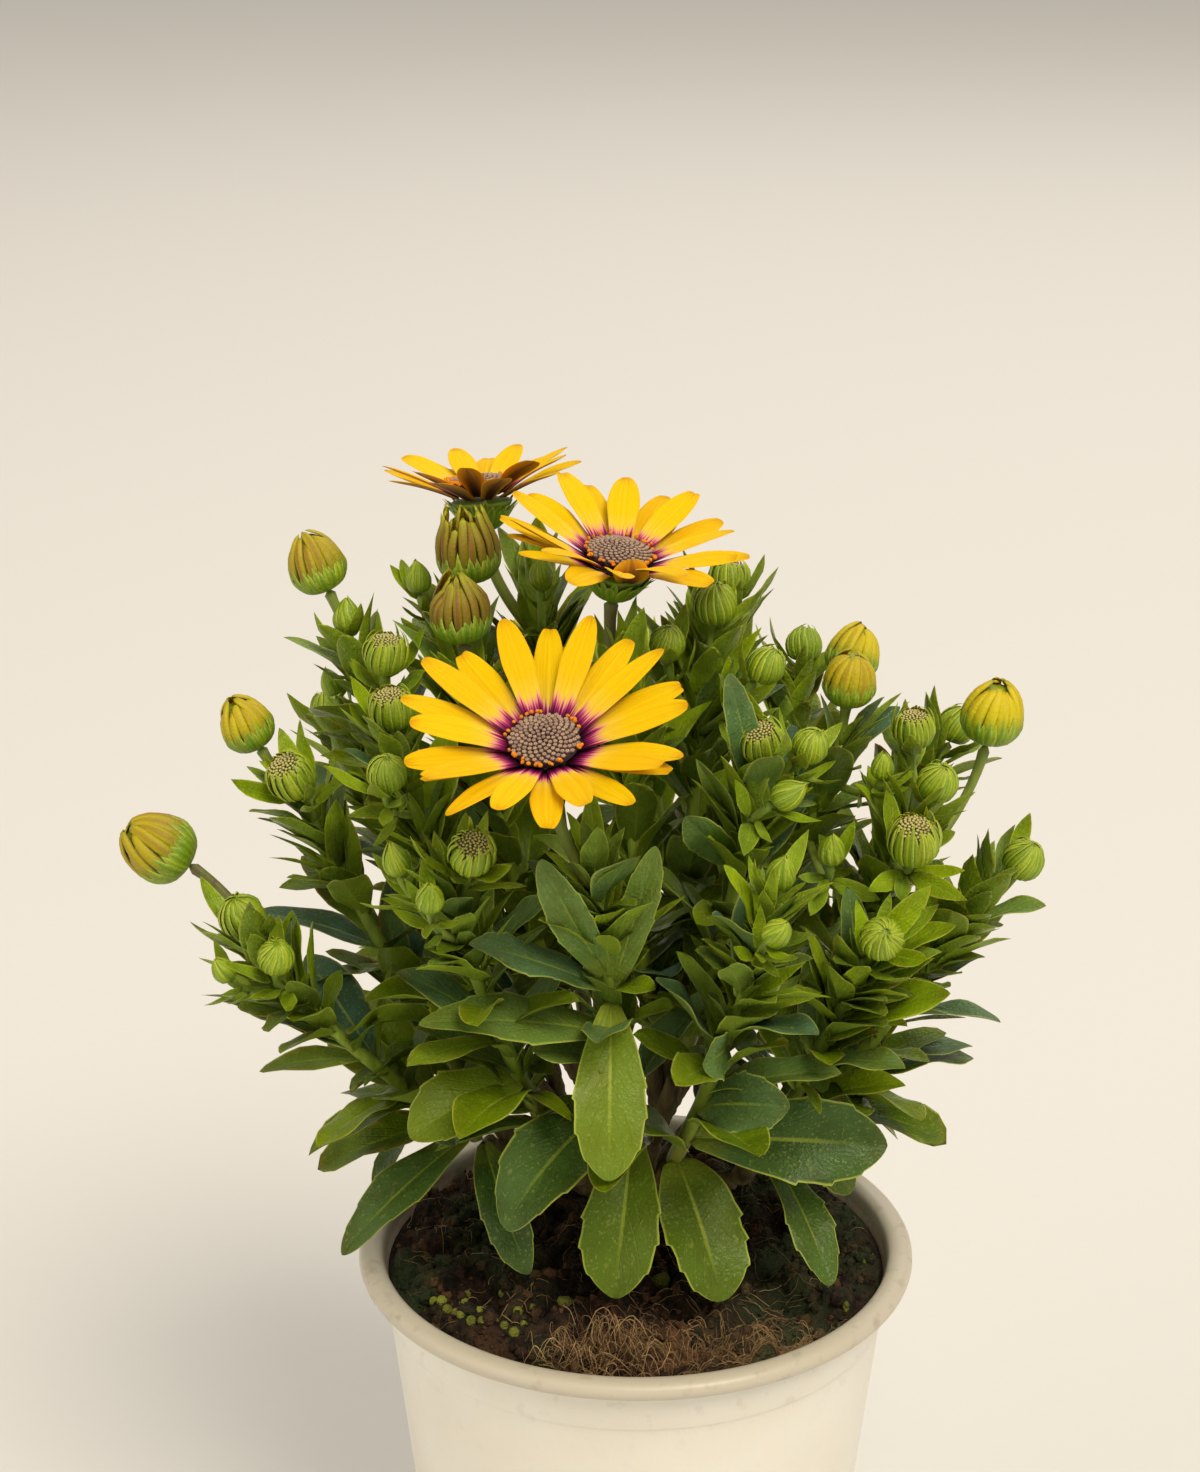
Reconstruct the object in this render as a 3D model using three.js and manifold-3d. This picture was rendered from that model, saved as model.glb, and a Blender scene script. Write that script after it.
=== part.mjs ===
// Osteospermum (Cape daisy) in a white plastic nursery pot, in millimetres, +Z up.
// The origin is the centre of the pot's underside. -Y is the side that the plant faces.
//
// A brown branched crown stands in a hole in the potting soil. Green leafy shoots grow from its branch
// ends, each a stem with its leaves, flower stalks, green buds and calyces in one solid. The ray florets
// and the disc of each bloom, and the rolled yellow florets of each ripe bud, sit in their calyx.
import * as THREE from "three";
import { mergeVertices } from "three/addons/utils/BufferGeometryUtils.js";
import Module from "manifold-3d";

const wasm = await Module();
wasm.setup();

// ---------------------------------------------------------------- driving dimensions

const FIT = 0.3; // air between two solids that touch in the real plant

const POT = {
  height: 107,
  rimRadius: 60,
  rimDepth: 3.8, // of the rolled rim, from its top to its underside
  baseRadius: 43.5,
  topRadius: 55.8, // of the wall, under the rim
  collarHeight: 14, // from the rim's top down to the small step in the wall
  step: 0.5,
  wall: 1.4,
  floor: 2,
  drainHoles: 4,
  drainRadius: 3.5,
  drainCircle: 31,
  sides: 24,
};

const SOIL = { edge: 103.6, mound: 1.5, clod: 1, sides: 16 };

const CROWN = { foot: [0, 6, 66], top: [0, 6, 110], trunkRadius: 4.4, branchRadius: 2.3, stubRadius: 1.9 };
const STUB_SHARE = 0.17; // how much of each shoot's curve belongs to the crown

const STEM_RADIUS = 1.7;
const STALK_RADIUS = { bloom: 1.35, ripe: 1.1, green: 0.9 };

// Leaves get shorter up their shoot, and lie closer to it (spread, in radians from the stem).
const LEAF = { lengths: [37, 20], spreads: [1.05, 0.6], bends: [0.5, 0.25], slenderness: 0.4 };
const BLADE = { thickness: 0.8, fold: 0.2 };
const GOLDEN_ANGLE = (137.5 * Math.PI) / 180;

// Where each branch of the crown forks into shoots.
const FORKS = {
  left: [-22, 3, 122],
  frontLeft: [-13, -7, 126],
  front: [3, -10, 121],
  right: [22, -3, 123],
  top: [-8, 13, 133],
  middle: [5, 2, 134],
  backLeft: [-16, 25, 123],
  backRight: [16, 26, 124],
};

// The leafy shoots: fork, tip of the leafy stem, number of leaves in its spiral, and the first one's turn.
const SHOOTS = {
  left_low: { fork: "left", tip: [-76, -24, 183], leaves: 8, turn: 0.4 },
  left_middle: { fork: "left", tip: [-68, -4, 210], leaves: 8, turn: 1.1 },
  left_high: { fork: "top", tip: [-58, 13, 234], leaves: 9, turn: 2 },
  left_inner: { fork: "frontLeft", tip: [-47, -18, 222], leaves: 8, turn: 0.2 },
  front_left: { fork: "frontLeft", tip: [-37, -42, 204], leaves: 7, turn: 2.6 },
  front_centre: { fork: "front", tip: [-9, -38, 208], leaves: 7, turn: 4.1 },
  front_right: { fork: "front", tip: [24, -47, 200], leaves: 7, turn: 1.7 },
  right_front: { fork: "right", tip: [44, -37, 190], leaves: 7, turn: 3.3 },
  right_outer: { fork: "right", tip: [69, -11, 190], leaves: 8, turn: 0.9 },
  right_middle: { fork: "right", tip: [54, -15, 208], leaves: 9, turn: 2.2 },
  right_high: { fork: "middle", tip: [42, 0, 222], leaves: 9, turn: 5 },
  centre_right: { fork: "middle", tip: [24, -21, 220], leaves: 8, turn: 0.6 },
  centre: { fork: "middle", tip: [-3, 0, 232], leaves: 8, turn: 3.9 },
  upper_right: { fork: "middle", tip: [14, 12, 234], leaves: 8, turn: 1.4 },
  upper_left: { fork: "top", tip: [-35, 4, 228], leaves: 8, turn: 2.9 },
  upper_back_left: { fork: "top", tip: [-37, 27, 232], leaves: 8, turn: 0.1 },
  upper_back: { fork: "top", tip: [-21, 38, 236], leaves: 8, turn: 4.6 },
  back_left: { fork: "backLeft", tip: [-62, 38, 204], leaves: 7, turn: 1.9 },
  back_left_low: { fork: "backLeft", tip: [-34, 66, 203], leaves: 7, turn: 3 },
  back_middle: { fork: "backRight", tip: [2, 70, 208], leaves: 7, turn: 0.8 },
  back_right: { fork: "backRight", tip: [36, 56, 212], leaves: 7, turn: 5.5 },
  back_right_low: { fork: "backRight", tip: [62, 27, 206], leaves: 7, turn: 2.4 },
  back_top: { fork: "backRight", tip: [18, 38, 232], leaves: 7, turn: 4.3 },
};

// Green buds: the shoot and how far up it the stalk leaves, the middle of the bud, its lean and width.
const GREEN_BUDS = [
  { shoot: "left_low", from: 0.97, at: [-80, -20, 192], lean: [-0.2, -0.2, 0.95], width: 10.5 },
  { shoot: "left_low", from: 0.9, at: [-72, -31, 188], lean: [0.1, -0.3, 0.95], width: 8 },
  { shoot: "left_low", from: 0.92, at: [-83, -29, 184], lean: [-0.4, -0.3, 0.85], width: 6 },
  { shoot: "left_middle", from: 0.97, at: [-70, -12, 219], lean: [-0.4, -0.5, 0.9], width: 10.5, open: true },
  { shoot: "left_high", from: 0.9, at: [-60, 15, 244], lean: [0, 0, 1], width: 7.5 },
  { shoot: "left_high", from: 0.88, at: [-51, 0, 241], lean: [0.1, -0.2, 0.97], width: 9.5, open: true },
  { shoot: "left_high", from: 0.85, at: [-64, 19, 228], lean: [-0.3, 0.1, 0.95], width: 6 },
  { shoot: "left_inner", from: 0.97, at: [-49, -16, 235], lean: [-0.1, -0.3, 0.95], width: 9.5, open: true },
  { shoot: "left_inner", from: 0.92, at: [-49, -31, 227], lean: [0.1, -0.3, 0.95], width: 8.5 },
  { shoot: "front_left", from: 0.96, at: [-32, -48, 217], lean: [0.1, -0.6, 0.8], width: 9.5, open: true },
  { shoot: "front_left", from: 0.93, at: [-47, -42, 213], lean: [-0.2, -0.2, 0.95], width: 7 },
  { shoot: "front_left", from: 0.9, at: [-40, -51, 209], lean: [0, -0.4, 0.9], width: 7 },
  { shoot: "front_right", from: 0.96, at: [27, -46, 212], lean: [0.2, -0.3, 0.93], width: 7.5 },
  { shoot: "front_right", from: 0.92, at: [26, -56, 204], lean: [0.4, -0.5, 0.75], width: 7 },
  { shoot: "right_front", from: 0.95, at: [47, -43, 197], lean: [0.1, -0.75, 0.65], width: 9.5 },
  { shoot: "right_outer", from: 0.97, at: [79, -9, 200], lean: [0.35, -0.25, 0.9], width: 9.5 },
  { shoot: "right_middle", from: 0.93, at: [54, -29, 212], lean: [0.05, -0.35, 0.93], width: 11, open: true },
  { shoot: "right_middle", from: 0.97, at: [60, -15, 219], lean: [0.2, -0.3, 0.93], width: 9 },
  { shoot: "right_middle", from: 0.88, at: [56, -3, 226], lean: [0, -0.2, 0.98], width: 9, open: true },
  { shoot: "right_high", from: 0.92, at: [49, -12, 221], lean: [0, -0.2, 0.98], width: 6 },
  { shoot: "right_high", from: 0.8, at: [38, -27, 209], lean: [0, -0.3, 0.95], width: 7 },
  { shoot: "centre_right", from: 0.97, at: [24, -25, 231], lean: [-0.2, -0.4, 0.9], width: 9.5, open: true },
  { shoot: "centre_right", from: 0.93, at: [34, -21, 229], lean: [0.4, -0.3, 0.87], width: 8 },
  { shoot: "centre_right", from: 0.9, at: [29, -33, 223], lean: [0.7, -0.3, 0.6], width: 7.5 },
  { shoot: "upper_right", from: 0.97, at: [16, 12, 248], lean: [0.1, -0.2, 0.97], width: 10 },
  { shoot: "upper_right", from: 0.9, at: [6, 4, 242], lean: [0, -0.2, 0.98], width: 8 },
  { shoot: "upper_right", from: 0.88, at: [26, -4, 240], lean: [0.5, -0.2, 0.84], width: 8.5 },
  { shoot: "upper_back_left", from: 0.95, at: [-46, 29, 248], lean: [-0.1, 0, 1], width: 7 },
  { shoot: "upper_back", from: 0.93, at: [-20, 26, 250], lean: [0, -0.1, 1], width: 6.5 },
  { shoot: "back_left", from: 0.96, at: [-67, 43, 214], lean: [-0.4, 0.3, 0.87], width: 9.5 },
  { shoot: "back_left", from: 0.9, at: [-57, 47, 212], lean: [0, 0.4, 0.9], width: 7.5 },
  { shoot: "back_left_low", from: 0.96, at: [-38, 72, 212], lean: [-0.2, 0.5, 0.85], width: 9 },
  { shoot: "back_middle", from: 0.96, at: [4, 76, 218], lean: [0.1, 0.5, 0.85], width: 10, open: true },
  { shoot: "back_middle", from: 0.9, at: [-7, 72, 217], lean: [-0.3, 0.3, 0.9], width: 7.5 },
  { shoot: "back_right", from: 0.96, at: [38, 61, 223], lean: [0.2, 0.4, 0.9], width: 9 },
  { shoot: "back_right_low", from: 0.96, at: [69, 30, 215], lean: [0.4, 0.2, 0.9], width: 9 },
  { shoot: "back_top", from: 0.96, at: [20, 42, 244], lean: [0.1, 0.2, 0.97], width: 9.5, open: true },
];

// Ripe buds, whose rolled yellow florets stand out of the calyx. In a half-open one they part by a share
// of its width.
const RIPE_BUDS = {
  left_low: { shoot: "left_low", from: 0.93, at: [-98, -6, 201], lean: [-0.78, -0.15, 0.6], width: 14 },
  left_high: { shoot: "left_high", from: 0.97, at: [-66, 15, 255], lean: [-0.4, 0, 0.92], width: 11.5 },
  left_middle: { shoot: "left_middle", from: 0.92, at: [-80, 1, 225], lean: [-0.45, -0.1, 0.9], width: 10.5 },
  right_high: { shoot: "right_high", from: 0.96, at: [43, 0, 235], lean: [0.1, -0.1, 0.99], width: 10.5 },
  right_middle: { shoot: "right_middle", from: 0.82, at: [73, 5, 226], lean: [0.15, -0.1, 1], width: 12.5 },
  upper_left: {
    shoot: "upper_left",
    from: 0.96,
    at: [-36, 4, 248],
    lean: [-0.1, 0, 1],
    width: 12,
    half: 0.1,
  },
  upper_back: {
    shoot: "upper_back_left",
    from: 1,
    at: [-35, 21, 256],
    lean: [-0.1, 0, 1],
    width: 13,
    half: 0.2,
  },
  back_right: { shoot: "back_right", from: 0.9, at: [48, 50, 224], lean: [0.3, 0.3, 0.9], width: 11.5 },
  back_left: { shoot: "back_left_low", from: 0.9, at: [-26, 76, 217], lean: [0.1, 0.4, 0.9], width: 11.5 },
};

// Open blooms: middle of the disc, the way it faces, rays, their length and width, and how far they rise.
const BLOOMS = {
  front: {
    shoot: "front_centre",
    at: [-18, -46, 237.5],
    face: [-0.05, -0.41, 0.91],
    rays: 20,
    length: 23.6,
    width: 6.4,
    rise: 20,
  },
  middle: {
    shoot: "centre",
    at: [-4, 4, 259],
    face: [0.14, -0.15, 0.98],
    rays: 20,
    length: 21,
    width: 6.2,
    rise: 21,
  },
  back: {
    shoot: "upper_back",
    at: [-33, 42, 263],
    face: [-0.06, 0.13, 0.99],
    rays: 18,
    length: 17.5,
    width: 6,
    rise: 24,
  },
};

// A bloom, up its axis: a cup-shaped calyx, the plate that the rays grow from, and the disc.
const BLOOM = {
  calyx: [[2.4, 0.5], [5.2, 4], [6, 6.6], [0, 6.6]],
  plateRadius: 7.8,
  plateMiddle: 7.5,
  plateThickness: 1.2,
  rayRoot: 5,
  layerStep: 0.35,
  layerClimb: 3.5, // degrees, added to one layer of rays and taken off the other
  discRadius: 7.8,
  middle: 8.5, // of the disc's underside, which is where a bloom is placed by
};

// The large leaves, most of them low on the shoots: how far up the shoot they leave it, where their tip
// is, their width, their bend in radians and which way their upper side faces.
const LARGE_LEAVES = [
  { shoot: "front_centre", from: 0.68, tip: [-6, -51, 148], width: 14, bend: 0.9, up: [0, -0.9, 0.5] },
  { shoot: "front_centre", from: 0.4, tip: [-28, -42, 133], width: 18, bend: 0.7, up: [-0.3, -0.6, 0.8] },
  { shoot: "front_centre", from: 0.3, tip: [-5, -38, 114], width: 16, bend: 0.5, up: [0.1, -0.9, 0.4] },
  { shoot: "front_right", from: 0.22, tip: [17, -37, 113], width: 17, bend: 0.7, up: [0.2, -0.8, 0.6] },
  { shoot: "right_front", from: 0.2, tip: [40, -34, 115], width: 10, bend: 0.4, up: [0.5, -0.5, 0.7] },
  { shoot: "left_low", from: 0.22, tip: [-62, -20, 114], width: 11, bend: 0.6, up: [-0.2, -0.6, 0.8] },
  { shoot: "front_left", from: 0.42, tip: [-46, -37, 151], width: 14, bend: 0.5, up: [-0.1, -0.4, 0.9] },
  { shoot: "front_left", from: 0.3, tip: [-42, -20, 149], width: 11, bend: 0.4, up: [0, -0.1, 1] },
  { shoot: "front_centre", from: 0.58, tip: [-43, -44, 180], width: 12, bend: 0.3, up: [0, -0.5, 0.85] },
  { shoot: "front_right", from: 0.42, tip: [29, -44, 161], width: 12, bend: 0.5, up: [0, -0.7, 0.7] },
  { shoot: "front_right", from: 0.3, tip: [51, -30, 145], width: 17, bend: 0.5, up: [0.1, -0.8, 0.6] },
  { shoot: "left_low", from: 0.18, tip: [-23, -33, 117], width: 10, bend: 0.6, up: [-0.1, -0.7, 0.7] },
  { shoot: "right_outer", from: 0.2, tip: [45, -12, 124], width: 10, bend: 0.5, up: [0.3, -0.1, 0.95] },
  { shoot: "left_low", from: 0.45, tip: [-61, -6, 138], width: 7, bend: 0.4, up: [-0.4, 0, 0.9] },
  { shoot: "left_middle", from: 0.3, tip: [-57, -2, 121], width: 7, bend: 0.3, up: [-0.8, -0.1, 0.5] },
  { shoot: "front_centre", from: 0.7, tip: [-33, -46, 197], width: 10, bend: 0.3, up: [0.1, -0.5, 0.85] },
  { shoot: "front_right", from: 0.66, tip: [12, -47, 172], width: 9, bend: 0.8, up: [-0.1, -1, 0.1] },
  { shoot: "front_centre", from: 0.74, tip: [-19, -46, 214], width: 8, bend: 0.4, up: [0.2, -0.9, -0.4] },
  { shoot: "front_centre", from: 0.7, tip: [3, -40, 215], width: 7, bend: 0.3, up: [0, -0.9, -0.3] },
  { shoot: "centre_right", from: 0.8, tip: [9, -32, 218], width: 8, bend: 0.3, up: [0.1, -0.9, -0.3] },
  { shoot: "centre_right", from: 0.97, tip: [17, -28, 246], width: 6.5, bend: 0.3, up: [0.2, -0.9, -0.2] },
  { shoot: "back_left", from: 0.25, tip: [-54, 42, 122], width: 15, bend: 0.6, up: [-0.3, 0.3, 0.9] },
  { shoot: "back_left_low", from: 0.25, tip: [-16, 66, 120], width: 15, bend: 0.6, up: [0, 0.5, 0.85] },
  { shoot: "back_middle", from: 0.25, tip: [10, 70, 126], width: 15, bend: 0.6, up: [0, 0.5, 0.85] },
  { shoot: "back_right", from: 0.22, tip: [42, 58, 121], width: 15, bend: 0.6, up: [0.3, 0.4, 0.85] },
  { shoot: "back_right_low", from: 0.22, tip: [58, 18, 121], width: 14, bend: 0.6, up: [0.4, 0, 0.9] },
  { shoot: "right_outer", from: 0.4, tip: [72, 2, 150], width: 12, bend: 0.6, up: [0.4, 0, 0.9] },
  { shoot: "back_left", from: 0.4, tip: [-66, 20, 146], width: 12, bend: 0.5, up: [-0.4, 0.1, 0.9] },
];

const GREEN = new THREE.MeshStandardMaterial({ color: 0x4f7a25, roughness: 0.6 });
const YELLOW = new THREE.MeshStandardMaterial({ color: 0xfcc20a, roughness: 0.55 });
const BRONZE = new THREE.MeshStandardMaterial({ color: 0xb8860f, roughness: 0.6 });
const GREY_PURPLE = new THREE.MeshStandardMaterial({ color: 0x6b5560, roughness: 0.8 });
const WHITE_PLASTIC = new THREE.MeshStandardMaterial({ color: 0xe6e2da, roughness: 0.4 });
const BARK = new THREE.MeshStandardMaterial({ color: 0x6d5a33, roughness: 0.8 });
const PEAT = new THREE.MeshStandardMaterial({ color: 0x2c1d14, roughness: 0.95 });

// ---------------------------------------------------------------- helpers

const vec = (xyz) => new THREE.Vector3(...xyz);
const mix = THREE.MathUtils.lerp;

// The same draws on every run: a linear congruential generator.
let draw = 20240511;
function random() {
  draw = (Math.imul(draw, 1664525) + 1013904223) >>> 0;
  return draw / 4294967296;
}

// A closed three.js geometry as a solid that can be joined and cut.
function solidOf(geometry) {
  geometry.deleteAttribute("normal");
  geometry.deleteAttribute("uv");
  const merged = mergeVertices(geometry, 1e-4);
  const solid = new wasm.Manifold(
    new wasm.Mesh({
      numProp: 3,
      vertProperties: new Float32Array(merged.attributes.position.array),
      triVerts: new Uint32Array(merged.index.array),
    }),
  );
  if (solid.volume() <= 0) throw new Error("a geometry is inside out");
  return solid;
}

// A solid back as a named mesh of the given material.
function meshOf(name, solid, material) {
  const { numProp, numVert, vertProperties, triVerts } = solid.getMesh();
  const position = new Float32Array(numVert * 3);
  for (let i = 0; i < numVert; i++) {
    position.set(vertProperties.subarray(i * numProp, i * numProp + 3), i * 3);
  }
  const geometry = new THREE.BufferGeometry();
  geometry.setAttribute("position", new THREE.BufferAttribute(position, 3));
  geometry.setIndex(new THREE.BufferAttribute(new Uint32Array(triVerts), 1));
  geometry.computeVertexNormals();
  const mesh = new THREE.Mesh(geometry, material);
  mesh.name = name;
  return mesh;
}

// Moves every vertex of a geometry to place(vertex).
function warp(geometry, place) {
  const position = geometry.attributes.position;
  const vertex = new THREE.Vector3();
  for (let i = 0; i < position.count; i++) {
    vertex.fromBufferAttribute(position, i);
    const { x, y, z } = place(vertex);
    position.setXYZ(i, x, y, z);
  }
  return geometry;
}

// A surface turned about Z from [radius, height] pairs, its ridges made by scaling the radius round it.
function turned(profile, sides, ridge = () => 1) {
  const lathe = new THREE.LatheGeometry(
    profile.map(([radius, height]) => new THREE.Vector2(radius, height)),
    sides,
  );
  return warp(lathe, ({ x, y, z }) => {
    const scale = ridge(Math.atan2(z, x), y);
    return vec([x * scale, -z * scale, y]);
  });
}

// A tube of even radius along a curve.
function tube(curve, radius, sides, steps) {
  const section = new THREE.Shape();
  for (let i = 0; i < sides; i++) {
    const angle = (2 * Math.PI * i) / sides;
    section[i ? "lineTo" : "moveTo"](radius * Math.cos(angle), radius * Math.sin(angle));
  }
  return new THREE.ExtrudeGeometry(section, { steps, bevelEnabled: false, extrudePath: curve });
}

// The stretch of a quadratic curve between two shares of it, which is a quadratic curve itself.
function stretch(curve, start, end) {
  const between = curve.v0
    .clone()
    .multiplyScalar((1 - start) * (1 - end))
    .addScaledVector(curve.v1, (1 - start) * end + start * (1 - end))
    .addScaledVector(curve.v2, start * end);
  return new THREE.QuadraticBezierCurve3(curve.getPoint(start), between, curve.getPoint(end));
}

// ---------------------------------------------------------------- leaf and ray blades

// A blade's frame: an arc from root to tip that starts towards its upper side and bends away from it.
function bladeFrame({ root, tip, up, bend, width, fold = BLADE.fold }) {
  const chord = tip.clone().sub(root);
  const length = chord.length();
  chord.normalize();
  const over = up.clone().addScaledVector(chord, -up.dot(chord)).normalize();
  const half = bend / 2;
  const start = chord.clone().multiplyScalar(Math.cos(half)).addScaledVector(over, Math.sin(half));
  const normal = over.clone().multiplyScalar(Math.cos(half)).addScaledVector(chord, -Math.sin(half));
  const radius = length / (2 * Math.sin(half));
  const side = start.clone().cross(normal);
  return { root, start, normal, side, radius, bend, width, fold };
}

// The point of a blade at share u of its length and v of its half width, raised by lift off its middle.
function bladePoint(frame, u, v, share, lift = 0) {
  const angle = frame.bend * u;
  const reach = share * frame.width * 0.5;
  const rise = lift + frame.fold * Math.abs(v) * reach;
  return frame.root
    .clone()
    .addScaledVector(frame.start, frame.radius * Math.sin(angle) + rise * Math.sin(angle))
    .addScaledVector(frame.normal, rise * Math.cos(angle) - frame.radius * (1 - Math.cos(angle)))
    .addScaledVector(frame.side, v * reach);
}

// Outlines as [share of length, share of width] between the root and the tip, which are points.
const OUTLINES = {
  toothed: [[0.26, 0.4], [0.6, 1.08], [0.66, 0.9], [0.86, 0.75]],
  leaf: [[0.34, 0.6], [0.74, 1]],
  bract: [[0.55, 1]],
  ray: [[0.3, 0.74], [0.66, 0.96], [0.92, 0.6]],
};

// A row of a ball that has its poles at the two ends of a limb: 0 at its root, last at its tip.
const rowOf = (y, last) => Math.round((Math.acos(THREE.MathUtils.clamp(y, -1, 1)) / Math.PI) * last);

// A blade is a ball of few faces warped on to its arc. With four corners it has a midrib on both sides,
// with three it is flat above and keeled below.
function bladeGeometry(blade, outline, { corners = 3, thickness = BLADE.thickness } = {}) {
  const frame = bladeFrame(blade);
  const last = outline.length + 1;
  return warp(new THREE.SphereGeometry(1, corners, last, -Math.PI / 2), ({ x, y, z }) => {
    const row = rowOf(y, last);
    if (row === 0 || row === last) return bladePoint(frame, row / last, 0, 0);
    const [u, share] = outline[row - 1];
    if (Math.abs(x) > 0.5 * Math.hypot(x, z)) return bladePoint(frame, u, -Math.sign(x), share);
    return bladePoint(frame, u, 0, share, (Math.sign(z) * thickness * 2) / corners);
  });
}

const SAMPLES_ALONG = [0.2, 0.36, 0.52, 0.68, 0.84, 0.98];
const SAMPLES_ACROSS = [-0.85, -0.42, 0, 0.42, 0.85];

// Points spread over a blade's middle surface, for keeping it clear of its neighbours.
function bladeSamples(blade) {
  const frame = bladeFrame(blade);
  return SAMPLES_ALONG.flatMap((u) => {
    const share = u < 0.65 ? mix(0.3, 1, u / 0.65) : mix(1, 0.15, (u - 0.65) / 0.35);
    return SAMPLES_ACROSS.map((v) => bladePoint(frame, u, v, share));
  });
}

// ---------------------------------------------------------------- pot, soil and crown

function potWallRadius(height) {
  const straight = mix(POT.baseRadius, POT.topRadius, height / POT.height);
  return height > POT.height - POT.collarHeight ? straight : straight - POT.step;
}

function potSolid() {
  const { height, rimRadius, rimDepth, baseRadius, wall, floor, collarHeight, sides } = POT;
  const ledge = height - collarHeight;
  const inner = (z) => potWallRadius(z) - wall;
  const lip = height - rimDepth;
  const profile = [
    [0, 0],
    [baseRadius - 1.5, 0],
    [baseRadius - POT.step, 1.5],
    [potWallRadius(ledge), ledge],
    [potWallRadius(ledge + 0.6), ledge + 0.6],
    [potWallRadius(lip), lip],
    [rimRadius - 0.8, lip],
    [rimRadius, lip + 1.6],
    [rimRadius - 1.2, height - 0.4],
    [rimRadius - 3.2, height],
    [inner(height) + 0.2, height - 0.9],
    [inner(ledge), ledge],
    [inner(floor), floor],
    [0, floor],
  ];
  let pot = solidOf(turned(profile, sides));
  for (let i = 0; i < POT.drainHoles; i++) {
    const angle = (2 * Math.PI * (i + 0.5)) / POT.drainHoles;
    const drill = new THREE.CylinderGeometry(POT.drainRadius, POT.drainRadius, 3 * floor, 8);
    drill.rotateX(Math.PI / 2);
    drill.translate(POT.drainCircle * Math.cos(angle), POT.drainCircle * Math.sin(angle), floor / 2);
    pot = pot.subtract(solidOf(drill));
  }
  return pot;
}

// The soil's surface: a low mound with clods, which are crossed sine waves about 15 mm long.
function soilHeight(x, y) {
  const reach = Math.min(1, Math.hypot(x, y) / 52);
  const clods = Math.sin(0.41 * x + 1.2) * Math.cos(0.37 * y - 0.6) + 0.6 * Math.sin(0.23 * x - 0.33 * y);
  return SOIL.edge + SOIL.mound * (1 - reach * reach) + SOIL.clod * clods;
}

function soilSolid() {
  const insideRadius = (z) => (potWallRadius(z) - POT.wall) * Math.cos(Math.PI / POT.sides) - FIT;
  const bottom = POT.floor + FIT;
  const ledge = POT.height - POT.collarHeight;
  const shoulder = SOIL.edge - 2;
  const profile = [[0, bottom], ...[bottom, ledge, shoulder].map((z) => [insideRadius(z), z])];
  for (const share of [0.96, 0.8, 0.6, 0.4, 0.2, 0]) {
    profile.push([insideRadius(shoulder) * share, SOIL.edge]);
  }
  const ground = warp(turned(profile, SOIL.sides), ({ x, y, z }) =>
    z > shoulder + 1 ? vec([x, y, soilHeight(x, y)]) : vec([x, y, z]),
  );
  const [x, y, footHeight] = CROWN.foot;
  const radius = CROWN.trunkRadius + 2 * FIT;
  const hole = new THREE.CylinderGeometry(radius, radius, POT.height, 8);
  hole.rotateX(Math.PI / 2);
  hole.translate(x, y, footHeight - FIT + POT.height / 2);
  return solidOf(ground).subtract(solidOf(hole));
}

// A shoot's whole curve, from its fork out and then up to its tip. The crown holds its first share.
function shootCurve({ fork, tip }) {
  const from = vec(FORKS[fork]);
  const to = vec(tip);
  const bow = vec([mix(from.x, to.x, 0.56), mix(from.y, to.y, 0.56), mix(from.z, to.z, 0.44)]);
  return new THREE.QuadraticBezierCurve3(from, bow, to);
}

function branchCurve(fork) {
  const top = vec(CROWN.top);
  const to = vec(fork);
  const bow = vec([mix(top.x, to.x, 0.45), mix(top.y, to.y, 0.45), mix(top.z, to.z, 0.7)]);
  return new THREE.QuadraticBezierCurve3(top, bow, to);
}

function crownSolid() {
  const trunkLine = new THREE.LineCurve3(vec(CROWN.foot), vec(CROWN.top).add(vec([0, 0, 3])));
  let crown = solidOf(tube(trunkLine, CROWN.trunkRadius, 6, 1));
  for (const fork of Object.values(FORKS)) {
    crown = crown.add(solidOf(tube(branchCurve(fork), CROWN.branchRadius, 4, 2)));
  }
  for (const shoot of Object.values(SHOOTS)) {
    const stub = stretch(shootCurve(shoot), 0, STUB_SHARE);
    crown = crown.add(solidOf(tube(stub, CROWN.stubRadius, 4, 1)));
  }
  return crown;
}

// ---------------------------------------------------------------- buds and blooms

// A stalk from a shoot to a bud's foot, which it meets along the bud's own lean.
function stalkCurve(from, foot, lean) {
  const reach = from.distanceTo(foot) * 0.45;
  return new THREE.QuadraticBezierCurve3(from, foot.clone().addScaledVector(lean, -reach), foot);
}

// A stalk and the body on it, as a ball of few faces warped on to rings up the stalk and up the body.
// The body is given as [radius, height] pairs from its foot, of which the last is its middle point.
function headGeometry({ stalk, stalkRadius, body, sides, ridge = () => 1 }, stand) {
  const rings = [];
  const steps = stalk.getLength() > 18 ? 3 : 2;
  const across = new THREE.Vector3().setFromMatrixColumn(stand, 0);
  for (let i = 1; i <= steps; i++) {
    const along = stalk.getTangent(i / steps);
    rings.push({ middle: stalk.getPoint(i / steps), front: along.cross(across), radius: stalkRadius });
  }
  const ahead = new THREE.Vector3().setFromMatrixColumn(stand, 1);
  for (const [radius, height] of body) {
    rings.push({ middle: vec([0, 0, height]).applyMatrix4(stand), front: ahead, radius, height });
  }
  const last = rings.length;
  return warp(new THREE.SphereGeometry(1, sides, last), ({ x, y, z }) => {
    const row = rowOf(y, last);
    if (row === 0) return stalk.getPoint(0);
    const ring = rings[row - 1];
    if (row === last) return ring.middle;
    const angle = Math.atan2(z, x);
    const reach = ring.radius * (ring.height ? ridge(angle, ring.height) : 1);
    return ring.middle
      .clone()
      .addScaledVector(across, reach * Math.cos(angle))
      .addScaledVector(ring.front, reach * Math.sin(angle));
  });
}

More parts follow.
